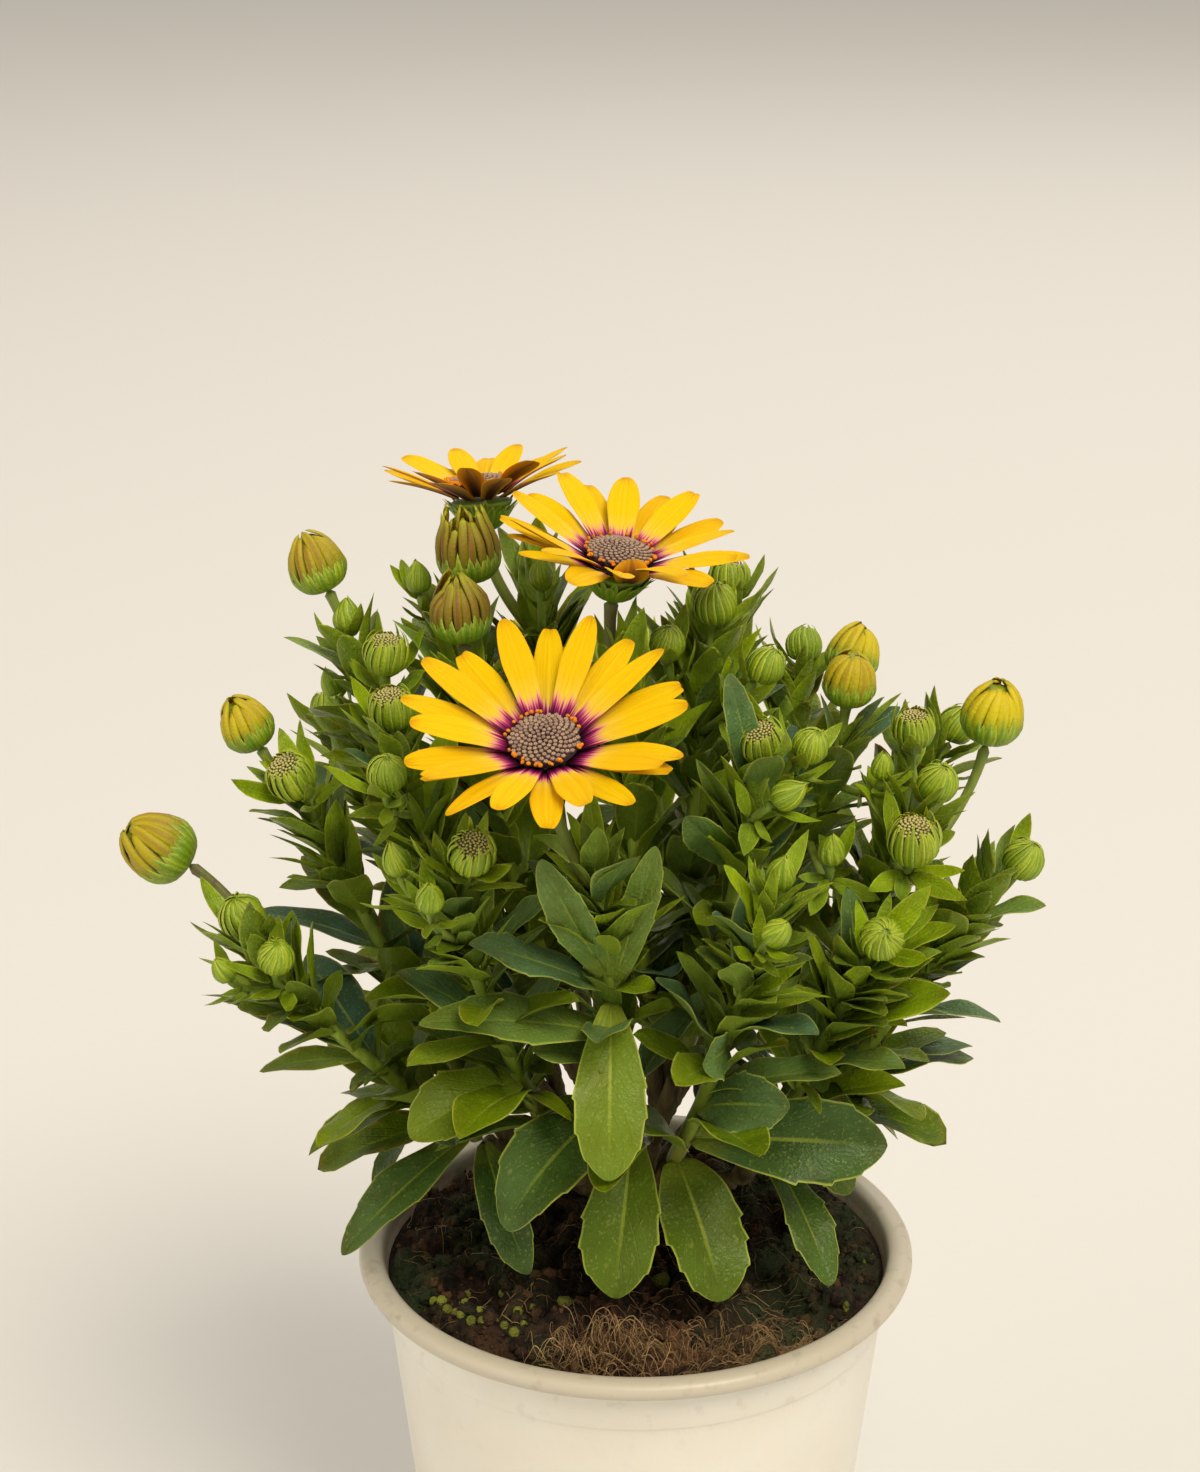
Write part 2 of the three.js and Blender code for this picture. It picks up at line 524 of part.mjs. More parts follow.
// A green bud: bracts as ridges, drawn in to a point, or with their tips apart where it opens.
function greenBud(width, open) {
  const shut = [[0.4, 0.12], [0.5, 0.48], [0.27, 0.92], [0, 1.08]];
  const small = [[0.44, 0.2], [0.42, 0.7], [0, 1.1]];
  const parted = [[0.4, 0.12], [0.52, 0.5], [0.4, 0.98], [0, 0.8]];
  const body = sized(open ? parted : width < 7.8 ? small : shut, width);
  const ridge = (angle, height) => 1 + (height > 0.7 * width ? 0.16 : 0.05) * Math.cos(3 * angle);
  return { body, sides: 6, ridge };
}

// The inside of a ripe bud's calyx, from its middle out to its brim, as [radius, height].
const CUP = [[0, 0.14], [0.38, 0.27], [0.42, 0.6]];
const sized = (profile, width) => profile.map(([radius, height]) => [radius * width, height * width]);

function ripeCalyx(width) {
  const outside = [[0.34, 0.06], [0.5, 0.33], [0.48, 0.6]];
  return { body: sized([...outside, ...CUP.toReversed()], width), sides: 8 };
}

// The foot of the florets of a ripe bud, which keeps a fitting gap off the inside of the calyx.
const floretFoot = (width) => sized(CUP, width).map(([r, h]) => [Math.max(0, r - 1.4 * FIT), h + FIT]);

// The rolled florets of a ripe bud: a ribbed cone that stands in the calyx.
function ripeFlorets(width) {
  const cone = sized([[0.44, 0.74], [0.32, 0.97], [0.13, 1.1], [0, 1.11]], width);
  return turned([...floretFoot(width), ...cone], 8, (angle, height) =>
    height > 0.7 * width ? 1 + 0.1 * Math.cos(4 * angle) : 1,
  );
}

// The florets of a half-open bud: a core in the calyx and a ring of narrow blades, spread by splay.
function halfOpenFlorets(width, splay) {
  let florets = solidOf(turned([...floretFoot(width), [0.25 * width, 0.8 * width], [0, 0.85 * width]], 8));
  const count = 11;
  for (let i = 0; i < count; i++) {
    const angle = (2 * Math.PI * i) / count;
    const out = vec([Math.cos(angle), Math.sin(angle), 0]);
    const root = out.clone().multiplyScalar(0.3 * width).setZ(0.45 * width);
    const height = (1.25 + 0.09 * ((i * 5) % 3)) * width;
    const tip = out.clone().multiplyScalar((0.18 + splay) * width).setZ(height);
    const blade = { root, tip, up: out.clone().negate(), bend: -0.7, width: 0.24 * width, fold: 0.3 };
    florets = florets.add(solidOf(bladeGeometry(blade, OUTLINES.bract, { thickness: 1.2 })));
  }
  return florets;
}

// How steeply the upper layer of a bloom's rays climbs, in radians.
const steepest = (rise) => ((rise + BLOOM.layerClimb) * Math.PI) / 180;

// The ray florets: two layers of blades out of one plate, the upper one a little steeper.
function rayFlorets({ rays, length, width, rise }) {
  const { plateRadius, plateMiddle, plateThickness, rayRoot, layerStep, layerClimb } = BLOOM;
  const plate = new THREE.CylinderGeometry(plateRadius, plateRadius - 1, plateThickness, 12);
  plate.rotateX(Math.PI / 2).translate(0, 0, plateMiddle);
  let florets = solidOf(plate);
  for (let i = 0; i < rays; i++) {
    const layer = i % 2 ? 1 : -1;
    const angle = (2 * Math.PI * i) / rays + 0.08 * (random() - 0.5);
    const climb = ((rise + layer * layerClimb) * Math.PI) / 180;
    const long = length * (0.93 + 0.14 * random());
    const out = vec([Math.cos(angle), Math.sin(angle), 0]);
    const root = out.clone().multiplyScalar(rayRoot).setZ(plateMiddle + layer * layerStep);
    const tip = root.clone().addScaledVector(out, long * Math.cos(climb));
    tip.z += long * Math.sin(climb);
    const blade = { root, tip, up: vec([0, 0, 1]), bend: 0.22, width, fold: 0.12 };
    florets = florets.add(solidOf(bladeGeometry(blade, OUTLINES.ray)));
  }
  return florets;
}

// The disc: a dome of crowded florets as relief. Its underside clears the upper layer of rays.
function discFlorets({ rise }) {
  const r = BLOOM.discRadius;
  const foot = BLOOM.middle;
  const brim = foot + 0.8 + (r - BLOOM.rayRoot) * Math.tan(steepest(rise));
  const dome = [[r, brim + 0.7], [0.75 * r, brim + 1.3], [0.4 * r, brim + 1.6], [0, brim + 1.7]];
  return turned([[0, foot], [4.6, foot], [r - 0.4, brim], ...dome], 12, (angle, height) =>
    height > brim ? 1 + 0.05 * Math.cos(6 * angle + Math.round(height) * Math.PI) : 1,
  );
}

// ---------------------------------------------------------------- growing the plant

// Everything solid so far, as points with a radius, and as solids with their node.
const guards = [];
const placed = [];

function guard(node, point, radius) {
  guards.push({ node, point, radius });
}

function guardAlong(node, curve, radius) {
  const steps = Math.ceil(curve.getLength() / 2.5);
  for (let i = 0; i <= steps; i++) guard(node, curve.getPoint(i / steps), radius);
}

const SKIN = 1.4; // radius of the guard at each sample of a blade

// True if a point of a blade keeps off the pot's rim, the soil and everything grown so far, of which the
// blade's own node may come as close as a share of the full gap.
function keepsOff(node, sample, ownShare = 0) {
  const reach = Math.hypot(sample.x, sample.y);
  const ground = reach < 51 ? SOIL.edge + SOIL.mound + 2.5 : POT.height + 2;
  if (sample.z < ground && reach < POT.rimRadius + 2) return false;
  return guards.every((other) => {
    const gap = (other.radius + SKIN) * (other.node === node ? ownShare : 1);
    return sample.distanceToSquared(other.point) >= gap * gap;
  });
}

// True if a leaf keeps off the rest. The third of it next to its stem may touch its own shoot.
function isClear(node, samples) {
  const rootSamples = 2 * SAMPLES_ACROSS.length;
  return samples.every((sample, index) => keepsOff(node, sample, index < rootSamples ? 0 : 0.7));
}

function keep(node, solid) {
  placed.push({ node, solid, box: solid.boundingBox() });
}

const boxesMeet = (a, b) => [0, 1, 2].every((k) => a.min[k] <= b.max[k] && b.min[k] <= a.max[k]);

// True if a solid meets one of another node.
function meetsAnother(node, solid) {
  const box = solid.boundingBox();
  const near = placed.filter((other) => other.node !== node && boxesMeet(box, other.box));
  return near.some((other) => solid.intersect(other.solid).volume() > 1e-4);
}

// Adds a blade to a node unless its solid, a fitting gap thicker all over, meets another node.
function addBlade(node, blade, outline, corners) {
  const thick = { corners, thickness: BLADE.thickness + 2 * FIT };
  if (meetsAnother(node, solidOf(bladeGeometry(blade, outline, thick)))) return false;
  keep(node, solidOf(bladeGeometry(blade, outline, { corners })));
  for (const sample of bladeSamples(blade)) guard(node, sample, SKIN);
  return true;
}

// The point and direction of a shoot at a share of its curve.
function onShoot(shoot, share) {
  const curve = shootCurve(SHOOTS[shoot]);
  return { point: curve.getPoint(share), along: curve.getTangent(share) };
}

// A unit vector square to an axis, turned about it by an angle.
function squareTo(axis, angle) {
  const side = vec([0, 0, 1]).cross(axis);
  if (side.length() < 0.05) side.set(1, 0, 0);
  return side.normalize().applyAxisAngle(axis, angle);
}

function growStems() {
  for (const [name, shoot] of Object.entries(SHOOTS)) {
    const whole = shootCurve(shoot);
    const curve = stretch(whole, STUB_SHARE + FIT / whole.getLength(), 1);
    keep(name, solidOf(tube(curve, STEM_RADIUS, 4, 3)));
    guardAlong(name, curve, STEM_RADIUS + 0.2);
  }
  for (const fork of Object.values(FORKS)) guardAlong("crown", branchCurve(fork), CROWN.branchRadius + 0.3);
  for (const shoot of Object.values(SHOOTS)) {
    guardAlong("crown", stretch(shootCurve(shoot), 0, STUB_SHARE), CROWN.stubRadius + 0.3);
  }
}

// A bud or bloom on its stalk. Returns the placing of its foot, for the florets that stand in it.
function growHead(node, { from, at, lean, stalkRadius, footDrop, green, bodyRadius }) {
  const facing = vec(lean).normalize();
  const foot = vec(at).addScaledVector(facing, -footDrop);
  const { point, along } = onShoot(node, from);
  const stalk = stalkCurve(point.addScaledVector(along, -1), foot, facing);
  const side = stalk.getTangent(0).cross(facing).normalize();
  const stand = new THREE.Matrix4().makeBasis(side, facing.clone().cross(side), facing).setPosition(foot);
  keep(node, solidOf(headGeometry({ stalk, stalkRadius, ...green }, stand)));
  guardAlong(node, stalk, stalkRadius + 0.3);
  guard(node, foot.clone().addScaledVector(facing, bodyRadius), bodyRadius);
  return stand;
}

const nodes = []; // [name, solid, material] of the yellow and purple parts

function growHeads() {
  for (const [name, bloom] of Object.entries(BLOOMS)) {
    const stand = growHead(bloom.shoot, {
      from: 0.97,
      at: bloom.at,
      lean: bloom.face,
      stalkRadius: STALK_RADIUS.bloom,
      footDrop: BLOOM.middle,
      green: { body: BLOOM.calyx, sides: 8 },
      bodyRadius: 4,
    });
    const rays = rayFlorets(bloom).transform(stand.elements);
    const disc = solidOf(discFlorets(bloom).applyMatrix4(stand));
    keep(`rays_${name}`, rays);
    keep(`disc_${name}`, disc);
    nodes.push([`bloom_${name}_rays`, rays, YELLOW], [`bloom_${name}_disc`, disc, GREY_PURPLE]);
    guardBloom(`rays_${name}`, bloom, stand);
  }
  for (const [name, bud] of Object.entries(RIPE_BUDS)) {
    const { width, half } = bud;
    const size = { stalkRadius: STALK_RADIUS.ripe, footDrop: width / 2, bodyRadius: width / 2 };
    const stand = growHead(bud.shoot, { ...bud, ...size, green: ripeCalyx(width) });
    const florets = half === undefined ? solidOf(ripeFlorets(width)) : halfOpenFlorets(width, half);
    const solid = florets.transform(stand.elements);
    keep(`florets_${name}`, solid);
    nodes.push([`bud_${name}_florets`, solid, half === undefined ? YELLOW : BRONZE]);
    guard(`florets_${name}`, vec([0, 0, width]).applyMatrix4(stand), width * 0.42);
  }
  for (const bud of GREEN_BUDS) {
    const { width, open } = bud;
    const size = { stalkRadius: STALK_RADIUS.green, footDrop: width / 2, bodyRadius: width / 2 };
    growHead(bud.shoot, { ...bud, ...size, green: greenBud(width, open) });
  }
}

// Guards in rings over the spread of a bloom's rays.
function guardBloom(node, { rays, length, rise }, stand) {
  const slope = Math.tan((rise * Math.PI) / 180);
  for (const reach of [0.1, 0.3, 0.5, 0.7, 0.9, 1.1]) {
    for (let i = 0; i < 2 * rays; i++) {
      const angle = (Math.PI * i) / rays;
      const radius = BLOOM.rayRoot + length * reach;
      const height = BLOOM.plateMiddle + length * reach * slope;
      const point = vec([radius * Math.cos(angle), radius * Math.sin(angle), height]);
      guard(node, point.applyMatrix4(stand), 1.8);
    }
  }
}

function growLargeLeaves() {
  for (const { shoot, from, tip, width, bend, up } of LARGE_LEAVES) {
    const blade = { root: onShoot(shoot, from).point, tip: vec(tip), up: vec(up), bend, width };
    if (!addBlade(shoot, blade, OUTLINES.toothed, 4)) throw new Error(`no room for the large leaf at ${tip}`);
  }
}

// A small leaf that cups each green bud.
function growBracts() {
  GREEN_BUDS.forEach(({ shoot, at, lean, width }, index) => {
    const facing = vec(lean).normalize();
    const out = squareTo(facing, 1.3 * index);
    const root = vec(at).addScaledVector(facing, -0.72 * width).addScaledVector(out, -0.4);
    const reach = width * (0.3 + 0.4 * random());
    const tip = vec(at).addScaledVector(facing, reach).addScaledVector(out, width);
    const blade = { root, tip, up: out.clone().negate(), bend: -1, width: 0.45 * width };
    const clear = bladeSamples(blade).every((sample) => keepsOff(shoot, sample));
    if (clear) addBlade(shoot, blade, OUTLINES.bract);
  });
}

const LEAF_TURNS = [0, 25, -25, 50, -50, 80, -80]; // degrees, tried one after the other
const LEAF_SIZES = [1, 0.75];

// The leaves up each shoot, in a spiral, each turned about its stem until it is clear of the rest.
function growSpiralLeaves() {
  const most = Math.max(...Object.values(SHOOTS).map((shoot) => shoot.leaves));
  for (let rank = 0; rank < most; rank++) {
    for (const [name, shoot] of Object.entries(SHOOTS)) {
      const lengthDraw = random();
      const spreadDraw = random();
      if (rank >= shoot.leaves) continue;
      const share = mix(0.2, 0.98, (rank + 0.5) / shoot.leaves);
      const length = mix(...LEAF.lengths, share) * (0.85 + 0.3 * lengthDraw);
      const spread = mix(...LEAF.spreads, share) + 0.3 * (spreadDraw - 0.5);
      growLeaf(name, share, length, spread, shoot.turn + rank * GOLDEN_ANGLE);
    }
  }
}

function growLeaf(name, share, fullLength, spread, turn) {
  const { point, along } = onShoot(name, share);
  const up = along.clone().add(vec([0, 0, 0.7]));
  for (const size of LEAF_SIZES) {
    for (const degrees of LEAF_TURNS) {
      const length = fullLength * size;
      const out = squareTo(along, turn + (degrees * Math.PI) / 180);
      const tip = point
        .clone()
        .addScaledVector(along, length * Math.cos(spread))
        .addScaledVector(out, length * Math.sin(spread));
      const root = point.clone().lerp(tip, -0.05);
      const blade = { root, tip, up, bend: mix(...LEAF.bends, share), width: length * LEAF.slenderness };
      if (isClear(name, bladeSamples(blade)) && addBlade(name, blade, OUTLINES.leaf)) return;
    }
  }
}

// ---------------------------------------------------------------- the plant in its pot

keep("crown", crownSolid());
growStems();
growHeads();
growLargeLeaves();
growBracts();
growSpiralLeaves();

const plant = new THREE.Group();
plant.name = "osteospermum";
plant.add(meshOf("pot", potSolid(), WHITE_PLASTIC));
plant.add(meshOf("soil", soilSolid(), PEAT));
plant.add(meshOf("crown", placed[0].solid, BARK));
for (const name of Object.keys(SHOOTS)) {
  const pieces = placed.filter((piece) => piece.node === name).map((piece) => piece.solid);
  const shoot = pieces.reduce((joined, piece) => joined.add(piece));
  plant.add(meshOf(`shoot_${name}`, shoot, GREEN));
}
for (const [name, solid, material] of nodes) plant.add(meshOf(name, solid, material));

export default plant;
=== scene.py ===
"""Osteospermum (Cape daisy) in a white plastic nursery pot, dressed around its CAD frame.

Shapes are worked out in millimetres, +Z up, and turn into metres when their mesh is made. -Y is the side
that the plant faces. The plan of the plant (forks, shoots, buds, blooms, large leaves) is the one that
the CAD solids are grown from, so each dressed piece stands where the solid that it replaces stands.
"""

import functools
import math
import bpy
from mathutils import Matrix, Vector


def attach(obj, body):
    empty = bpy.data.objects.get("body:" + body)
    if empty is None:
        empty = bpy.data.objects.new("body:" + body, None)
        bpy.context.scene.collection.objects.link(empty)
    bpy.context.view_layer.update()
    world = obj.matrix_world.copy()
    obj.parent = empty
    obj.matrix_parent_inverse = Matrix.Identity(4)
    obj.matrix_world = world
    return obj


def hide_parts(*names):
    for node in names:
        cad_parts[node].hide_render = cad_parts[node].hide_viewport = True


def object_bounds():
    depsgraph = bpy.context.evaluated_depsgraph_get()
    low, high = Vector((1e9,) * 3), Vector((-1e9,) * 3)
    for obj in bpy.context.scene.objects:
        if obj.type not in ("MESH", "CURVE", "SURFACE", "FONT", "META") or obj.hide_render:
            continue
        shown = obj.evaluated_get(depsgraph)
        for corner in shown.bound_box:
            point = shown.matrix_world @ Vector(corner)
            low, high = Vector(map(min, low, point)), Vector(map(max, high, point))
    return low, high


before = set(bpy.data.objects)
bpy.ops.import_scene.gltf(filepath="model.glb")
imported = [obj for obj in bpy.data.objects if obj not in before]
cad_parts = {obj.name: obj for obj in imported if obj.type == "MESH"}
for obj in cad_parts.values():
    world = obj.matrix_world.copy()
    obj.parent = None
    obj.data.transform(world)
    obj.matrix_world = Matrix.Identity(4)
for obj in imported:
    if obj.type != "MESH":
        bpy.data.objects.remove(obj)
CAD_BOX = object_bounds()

import types

import bpy
import numpy as np
from mathutils import Vector

bl_info = {
    "name": "Potted osteospermum",
    "version": (1, 0, 0),
    "blender": (4, 5, 0),
    "location": "3D View > Sidebar > Osteospermum",
    "description": "Builds a potted osteospermum with its leaves, buds and blooms around its CAD frame",
    "category": "Add Mesh",
}

MM = 0.001
GOLDEN_ANGLE = math.radians(137.5)

# ---------------------------------------------------------------- the plan of the plant, in millimetres

POT = {
    "height": 107.0,
    "base_radius": 43.5,
    "top_radius": 55.8,
    "collar": 14.0,
    "step": 0.5,
    "wall": 1.4,
    "floor": 2.0,
    "drain_radius": 3.5,
    "drain_circle": 31.0,
}
SOIL_EDGE, SOIL_MOUND, SOIL_CLOD, SOIL_REACH = 103.6, 1.5, 1.0, 52.0
TRUNK = ((0, 6, 66), (0, 6, 110))
TRUNK_RADIUS, BRANCH_RADIUS, STUB_RADIUS, STEM_RADIUS = 4.4, 2.3, 1.9, 1.7
STUB_SHARE = 0.17
STALK_RADIUS = {"bloom": 1.35, "ripe": 1.1, "green": 0.9}

FORKS = {
    "left": (-22, 3, 122),
    "frontLeft": (-13, -7, 126),
    "front": (3, -10, 121),
    "right": (22, -3, 123),
    "top": (-8, 13, 133),
    "middle": (5, 2, 134),
    "backLeft": (-16, 25, 123),
    "backRight": (16, 26, 124),
}

# Each leafy shoot: its fork, the tip of its stem, the leaves in its spiral and the first one's turn.
SHOOTS = {
    "left_low": ("left", (-76, -24, 183), 8, 0.4),
    "left_middle": ("left", (-68, -4, 210), 8, 1.1),
    "left_high": ("top", (-58, 13, 234), 9, 2.0),
    "left_inner": ("frontLeft", (-47, -18, 222), 8, 0.2),
    "front_left": ("frontLeft", (-37, -42, 204), 7, 2.6),
    "front_centre": ("front", (-9, -38, 208), 7, 4.1),
    "front_right": ("front", (24, -47, 200), 7, 1.7),
    "right_front": ("right", (44, -37, 190), 7, 3.3),
    "right_outer": ("right", (69, -11, 190), 8, 0.9),
    "right_middle": ("right", (54, -15, 208), 9, 2.2),
    "right_high": ("middle", (42, 0, 222), 9, 5.0),
    "centre_right": ("middle", (24, -21, 220), 8, 0.6),
    "centre": ("middle", (-3, 0, 232), 8, 3.9),
    "upper_right": ("middle", (14, 12, 234), 8, 1.4),
    "upper_left": ("top", (-35, 4, 228), 8, 2.9),
    "upper_back_left": ("top", (-37, 27, 232), 8, 0.1),
    "upper_back": ("top", (-21, 38, 236), 8, 4.6),
    "back_left": ("backLeft", (-62, 38, 204), 7, 1.9),
    "back_left_low": ("backLeft", (-34, 66, 203), 7, 3.0),
    "back_middle": ("backRight", (2, 70, 208), 7, 0.8),
    "back_right": ("backRight", (36, 56, 212), 7, 5.5),
    "back_right_low": ("backRight", (62, 27, 206), 7, 2.4),
    "back_top": ("backRight", (18, 38, 232), 7, 4.3),
}

# Green buds: the shoot, how far up it the stalk leaves, the bud's middle, lean and width, and if it opens.
GREEN_BUDS = (
    ("left_low", 0.97, (-80, -20, 192), (-0.2, -0.2, 0.95), 10.5, False),
    ("left_low", 0.9, (-72, -31, 188), (0.1, -0.3, 0.95), 8, False),
    ("left_low", 0.92, (-83, -29, 184), (-0.4, -0.3, 0.85), 6, False),
    ("left_middle", 0.97, (-70, -12, 219), (-0.4, -0.5, 0.9), 10.5, True),
    ("left_high", 0.9, (-60, 15, 244), (0, 0, 1), 7.5, False),
    ("left_high", 0.88, (-51, 0, 241), (0.1, -0.2, 0.97), 9.5, True),
    ("left_high", 0.85, (-64, 19, 228), (-0.3, 0.1, 0.95), 6, False),
    ("left_inner", 0.97, (-49, -16, 235), (-0.1, -0.3, 0.95), 9.5, True),
    ("left_inner", 0.92, (-49, -31, 227), (0.1, -0.3, 0.95), 8.5, False),
    ("front_left", 0.96, (-32, -48, 217), (0.1, -0.6, 0.8), 9.5, True),
    ("front_left", 0.93, (-47, -42, 213), (-0.2, -0.2, 0.95), 7, False),
    ("front_left", 0.9, (-40, -51, 209), (0, -0.4, 0.9), 7, False),
    ("front_right", 0.96, (27, -46, 212), (0.2, -0.3, 0.93), 7.5, False),
    ("front_right", 0.92, (26, -56, 204), (0.4, -0.5, 0.75), 7, False),
    ("right_front", 0.95, (47, -43, 197), (0.1, -0.75, 0.65), 9.5, False),
    ("right_outer", 0.97, (79, -9, 200), (0.35, -0.25, 0.9), 9.5, False),
    ("right_middle", 0.93, (54, -29, 212), (0.05, -0.35, 0.93), 11, True),
    ("right_middle", 0.97, (60, -15, 219), (0.2, -0.3, 0.93), 9, False),
    ("right_middle", 0.88, (56, -3, 226), (0, -0.2, 0.98), 9, True),
    ("right_high", 0.92, (49, -12, 221), (0, -0.2, 0.98), 6, False),
    ("right_high", 0.8, (38, -27, 209), (0, -0.3, 0.95), 7, False),
    ("centre_right", 0.97, (24, -25, 231), (-0.2, -0.4, 0.9), 9.5, True),
    ("centre_right", 0.93, (34, -21, 229), (0.4, -0.3, 0.87), 8, False),
    ("centre_right", 0.9, (29, -33, 223), (0.7, -0.3, 0.6), 7.5, False),
    ("upper_right", 0.97, (16, 12, 248), (0.1, -0.2, 0.97), 10, False),
    ("upper_right", 0.9, (6, 4, 242), (0, -0.2, 0.98), 8, False),
    ("upper_right", 0.88, (26, -4, 240), (0.5, -0.2, 0.84), 8.5, False),
    ("upper_back_left", 0.95, (-46, 29, 248), (-0.1, 0, 1), 7, False),
    ("upper_back", 0.93, (-20, 26, 250), (0, -0.1, 1), 6.5, False),
    ("back_left", 0.96, (-67, 43, 214), (-0.4, 0.3, 0.87), 9.5, False),
    ("back_left", 0.9, (-57, 47, 212), (0, 0.4, 0.9), 7.5, False),
    ("back_left_low", 0.96, (-38, 72, 212), (-0.2, 0.5, 0.85), 9, False),
    ("back_middle", 0.96, (4, 76, 218), (0.1, 0.5, 0.85), 10, True),
    ("back_middle", 0.9, (-7, 72, 217), (-0.3, 0.3, 0.9), 7.5, False),
    ("back_right", 0.96, (38, 61, 223), (0.2, 0.4, 0.9), 9, False),
    ("back_right_low", 0.96, (69, 30, 215), (0.4, 0.2, 0.9), 9, False),
    ("back_top", 0.96, (20, 42, 244), (0.1, 0.2, 0.97), 9.5, True),
)

# Ripe buds: the same, with how far the rays of a half-open one part, as a share of its width.
RIPE_BUDS = {
    "left_low": ("left_low", 0.93, (-98, -6, 201), (-0.78, -0.15, 0.6), 14, None),
    "left_high": ("left_high", 0.97, (-66, 15, 255), (-0.4, 0, 0.92), 11.5, None),
    "left_middle": ("left_middle", 0.92, (-80, 1, 225), (-0.45, -0.1, 0.9), 10.5, None),
    "right_high": ("right_high", 0.96, (43, 0, 235), (0.1, -0.1, 0.99), 10.5, None),
    "right_middle": ("right_middle", 0.82, (73, 5, 226), (0.15, -0.1, 1), 12.5, None),
    "upper_left": ("upper_left", 0.96, (-36, 4, 248), (-0.1, 0, 1), 12, 0.12),
    "upper_back": ("upper_back_left", 1, (-35, 21, 256), (-0.1, 0, 1), 13, 0.27),
    "back_right": ("back_right", 0.9, (48, 50, 224), (0.3, 0.3, 0.9), 11.5, None),
    "back_left": ("back_left_low", 0.9, (-26, 76, 217), (0.1, 0.4, 0.9), 11.5, None),
}

# Blooms: the shoot, the middle of the disc, the way it faces, rays, their length and width, and their rise.
BLOOMS = {
    "front": ("front_centre", (-18, -46, 237.5), (-0.05, -0.41, 0.91), 20, 23.6, 6.4, 20),
    "middle": ("centre", (-4, 4, 259), (0.14, -0.15, 0.98), 20, 21, 6.2, 21),
    "back": ("upper_back", (-33, 42, 263), (-0.06, 0.13, 0.99), 18, 17.5, 6, 24),
}
BLOOM_FOOT, PLATE_MIDDLE, RAY_ROOT, LAYER_STEP, LAYER_CLIMB = 8.5, 7.5, 5.0, 0.35, 3.5
DISC_RADIUS = 7.8
# how far up its shoot a bloom's stalk leaves
BLOOM_SHARE = 0.97

# Large leaves: the shoot, how far up it the leaf leaves, its tip, width, bend and the way its top faces.
LARGE_LEAVES = (
    ("front_centre", 0.68, (-6, -51, 148), 14, 0.9, (0, -0.9, 0.5)),
    ("front_centre", 0.4, (-28, -42, 133), 18, 0.7, (-0.3, -0.6, 0.8)),
    ("front_centre", 0.3, (-5, -38, 114), 16, 0.5, (0.1, -0.9, 0.4)),
    ("front_right", 0.22, (17, -37, 113), 17, 0.7, (0.2, -0.8, 0.6)),
    ("right_front", 0.2, (40, -34, 115), 10, 0.4, (0.5, -0.5, 0.7)),
    ("left_low", 0.22, (-62, -20, 114), 11, 0.6, (-0.2, -0.6, 0.8)),
    ("front_left", 0.42, (-46, -37, 151), 14, 0.5, (-0.1, -0.4, 0.9)),
    ("front_left", 0.3, (-42, -20, 149), 11, 0.4, (0, -0.1, 1)),
    ("front_centre", 0.58, (-43, -44, 180), 12, 0.3, (0, -0.5, 0.85)),
    ("front_right", 0.42, (29, -44, 161), 12, 0.5, (0, -0.7, 0.7)),
    ("front_right", 0.3, (51, -30, 145), 17, 0.5, (0.1, -0.8, 0.6)),
    ("left_low", 0.18, (-23, -33, 117), 10, 0.6, (-0.1, -0.7, 0.7)),
    ("right_outer", 0.2, (45, -12, 124), 10, 0.5, (0.3, -0.1, 0.95)),
    ("left_low", 0.45, (-61, -6, 138), 7, 0.4, (-0.4, 0, 0.9)),
    ("left_middle", 0.3, (-57, -2, 121), 7, 0.3, (-0.8, -0.1, 0.5)),
    ("front_centre", 0.7, (-33, -46, 197), 10, 0.3, (0.1, -0.5, 0.85)),
    ("front_right", 0.66, (12, -47, 172), 9, 0.8, (-0.1, -1, 0.1)),
    ("front_centre", 0.74, (-19, -46, 214), 8, 0.4, (0.2, -0.9, -0.4)),
    ("front_centre", 0.7, (3, -40, 215), 7, 0.3, (0, -0.9, -0.3)),
    ("centre_right", 0.8, (9, -32, 218), 8, 0.3, (0.1, -0.9, -0.3)),
    ("centre_right", 0.97, (17, -28, 246), 6.5, 0.3, (0.2, -0.9, -0.2)),
    ("back_left", 0.25, (-54, 42, 122), 15, 0.6, (-0.3, 0.3, 0.9)),
    ("back_left_low", 0.25, (-16, 66, 120), 15, 0.6, (0, 0.5, 0.85)),
    ("back_middle", 0.25, (10, 70, 126), 15, 0.6, (0, 0.5, 0.85)),
    ("back_right", 0.22, (42, 58, 121), 15, 0.6, (0.3, 0.4, 0.85)),
    ("back_right_low", 0.22, (58, 18, 121), 14, 0.6, (0.4, 0, 0.9)),
    ("right_outer", 0.4, (72, 2, 150), 12, 0.6, (0.4, 0, 0.9)),
    ("back_left", 0.4, (-66, 20, 146), 12, 0.5, (-0.4, 0.1, 0.9)),
)

# Leaves get shorter up their shoot, bend less and lie closer to it (spread, in radians from the stem).
LEAF_LENGTHS, LEAF_SPREADS, LEAF_BENDS, LEAF_SLENDERNESS = (37, 20), (1.05, 0.6), (0.5, 0.25), 0.4
LEAF_TURNS = (0, 25, -25, 50, -50, 80, -80)
LEAF_SIZES = (1, 0.75)
LEAF_FOLD = 0.2
# a tip this close to a corner of the CAD node is the tip of a leaf of the solid
TIP_MATCH = 0.02


# ---------------------------------------------------------------- vectors and curves


def unit(vectors):
    """Vectors scaled to length 1."""
    vectors = np.asarray(vectors, float)
    return vectors / np.linalg.norm(vectors, axis=-1, keepdims=True)


def mix(start, end, share):
    """The value a share of the way from start to end."""
    return start + (np.asarray(end, float) - start) * share


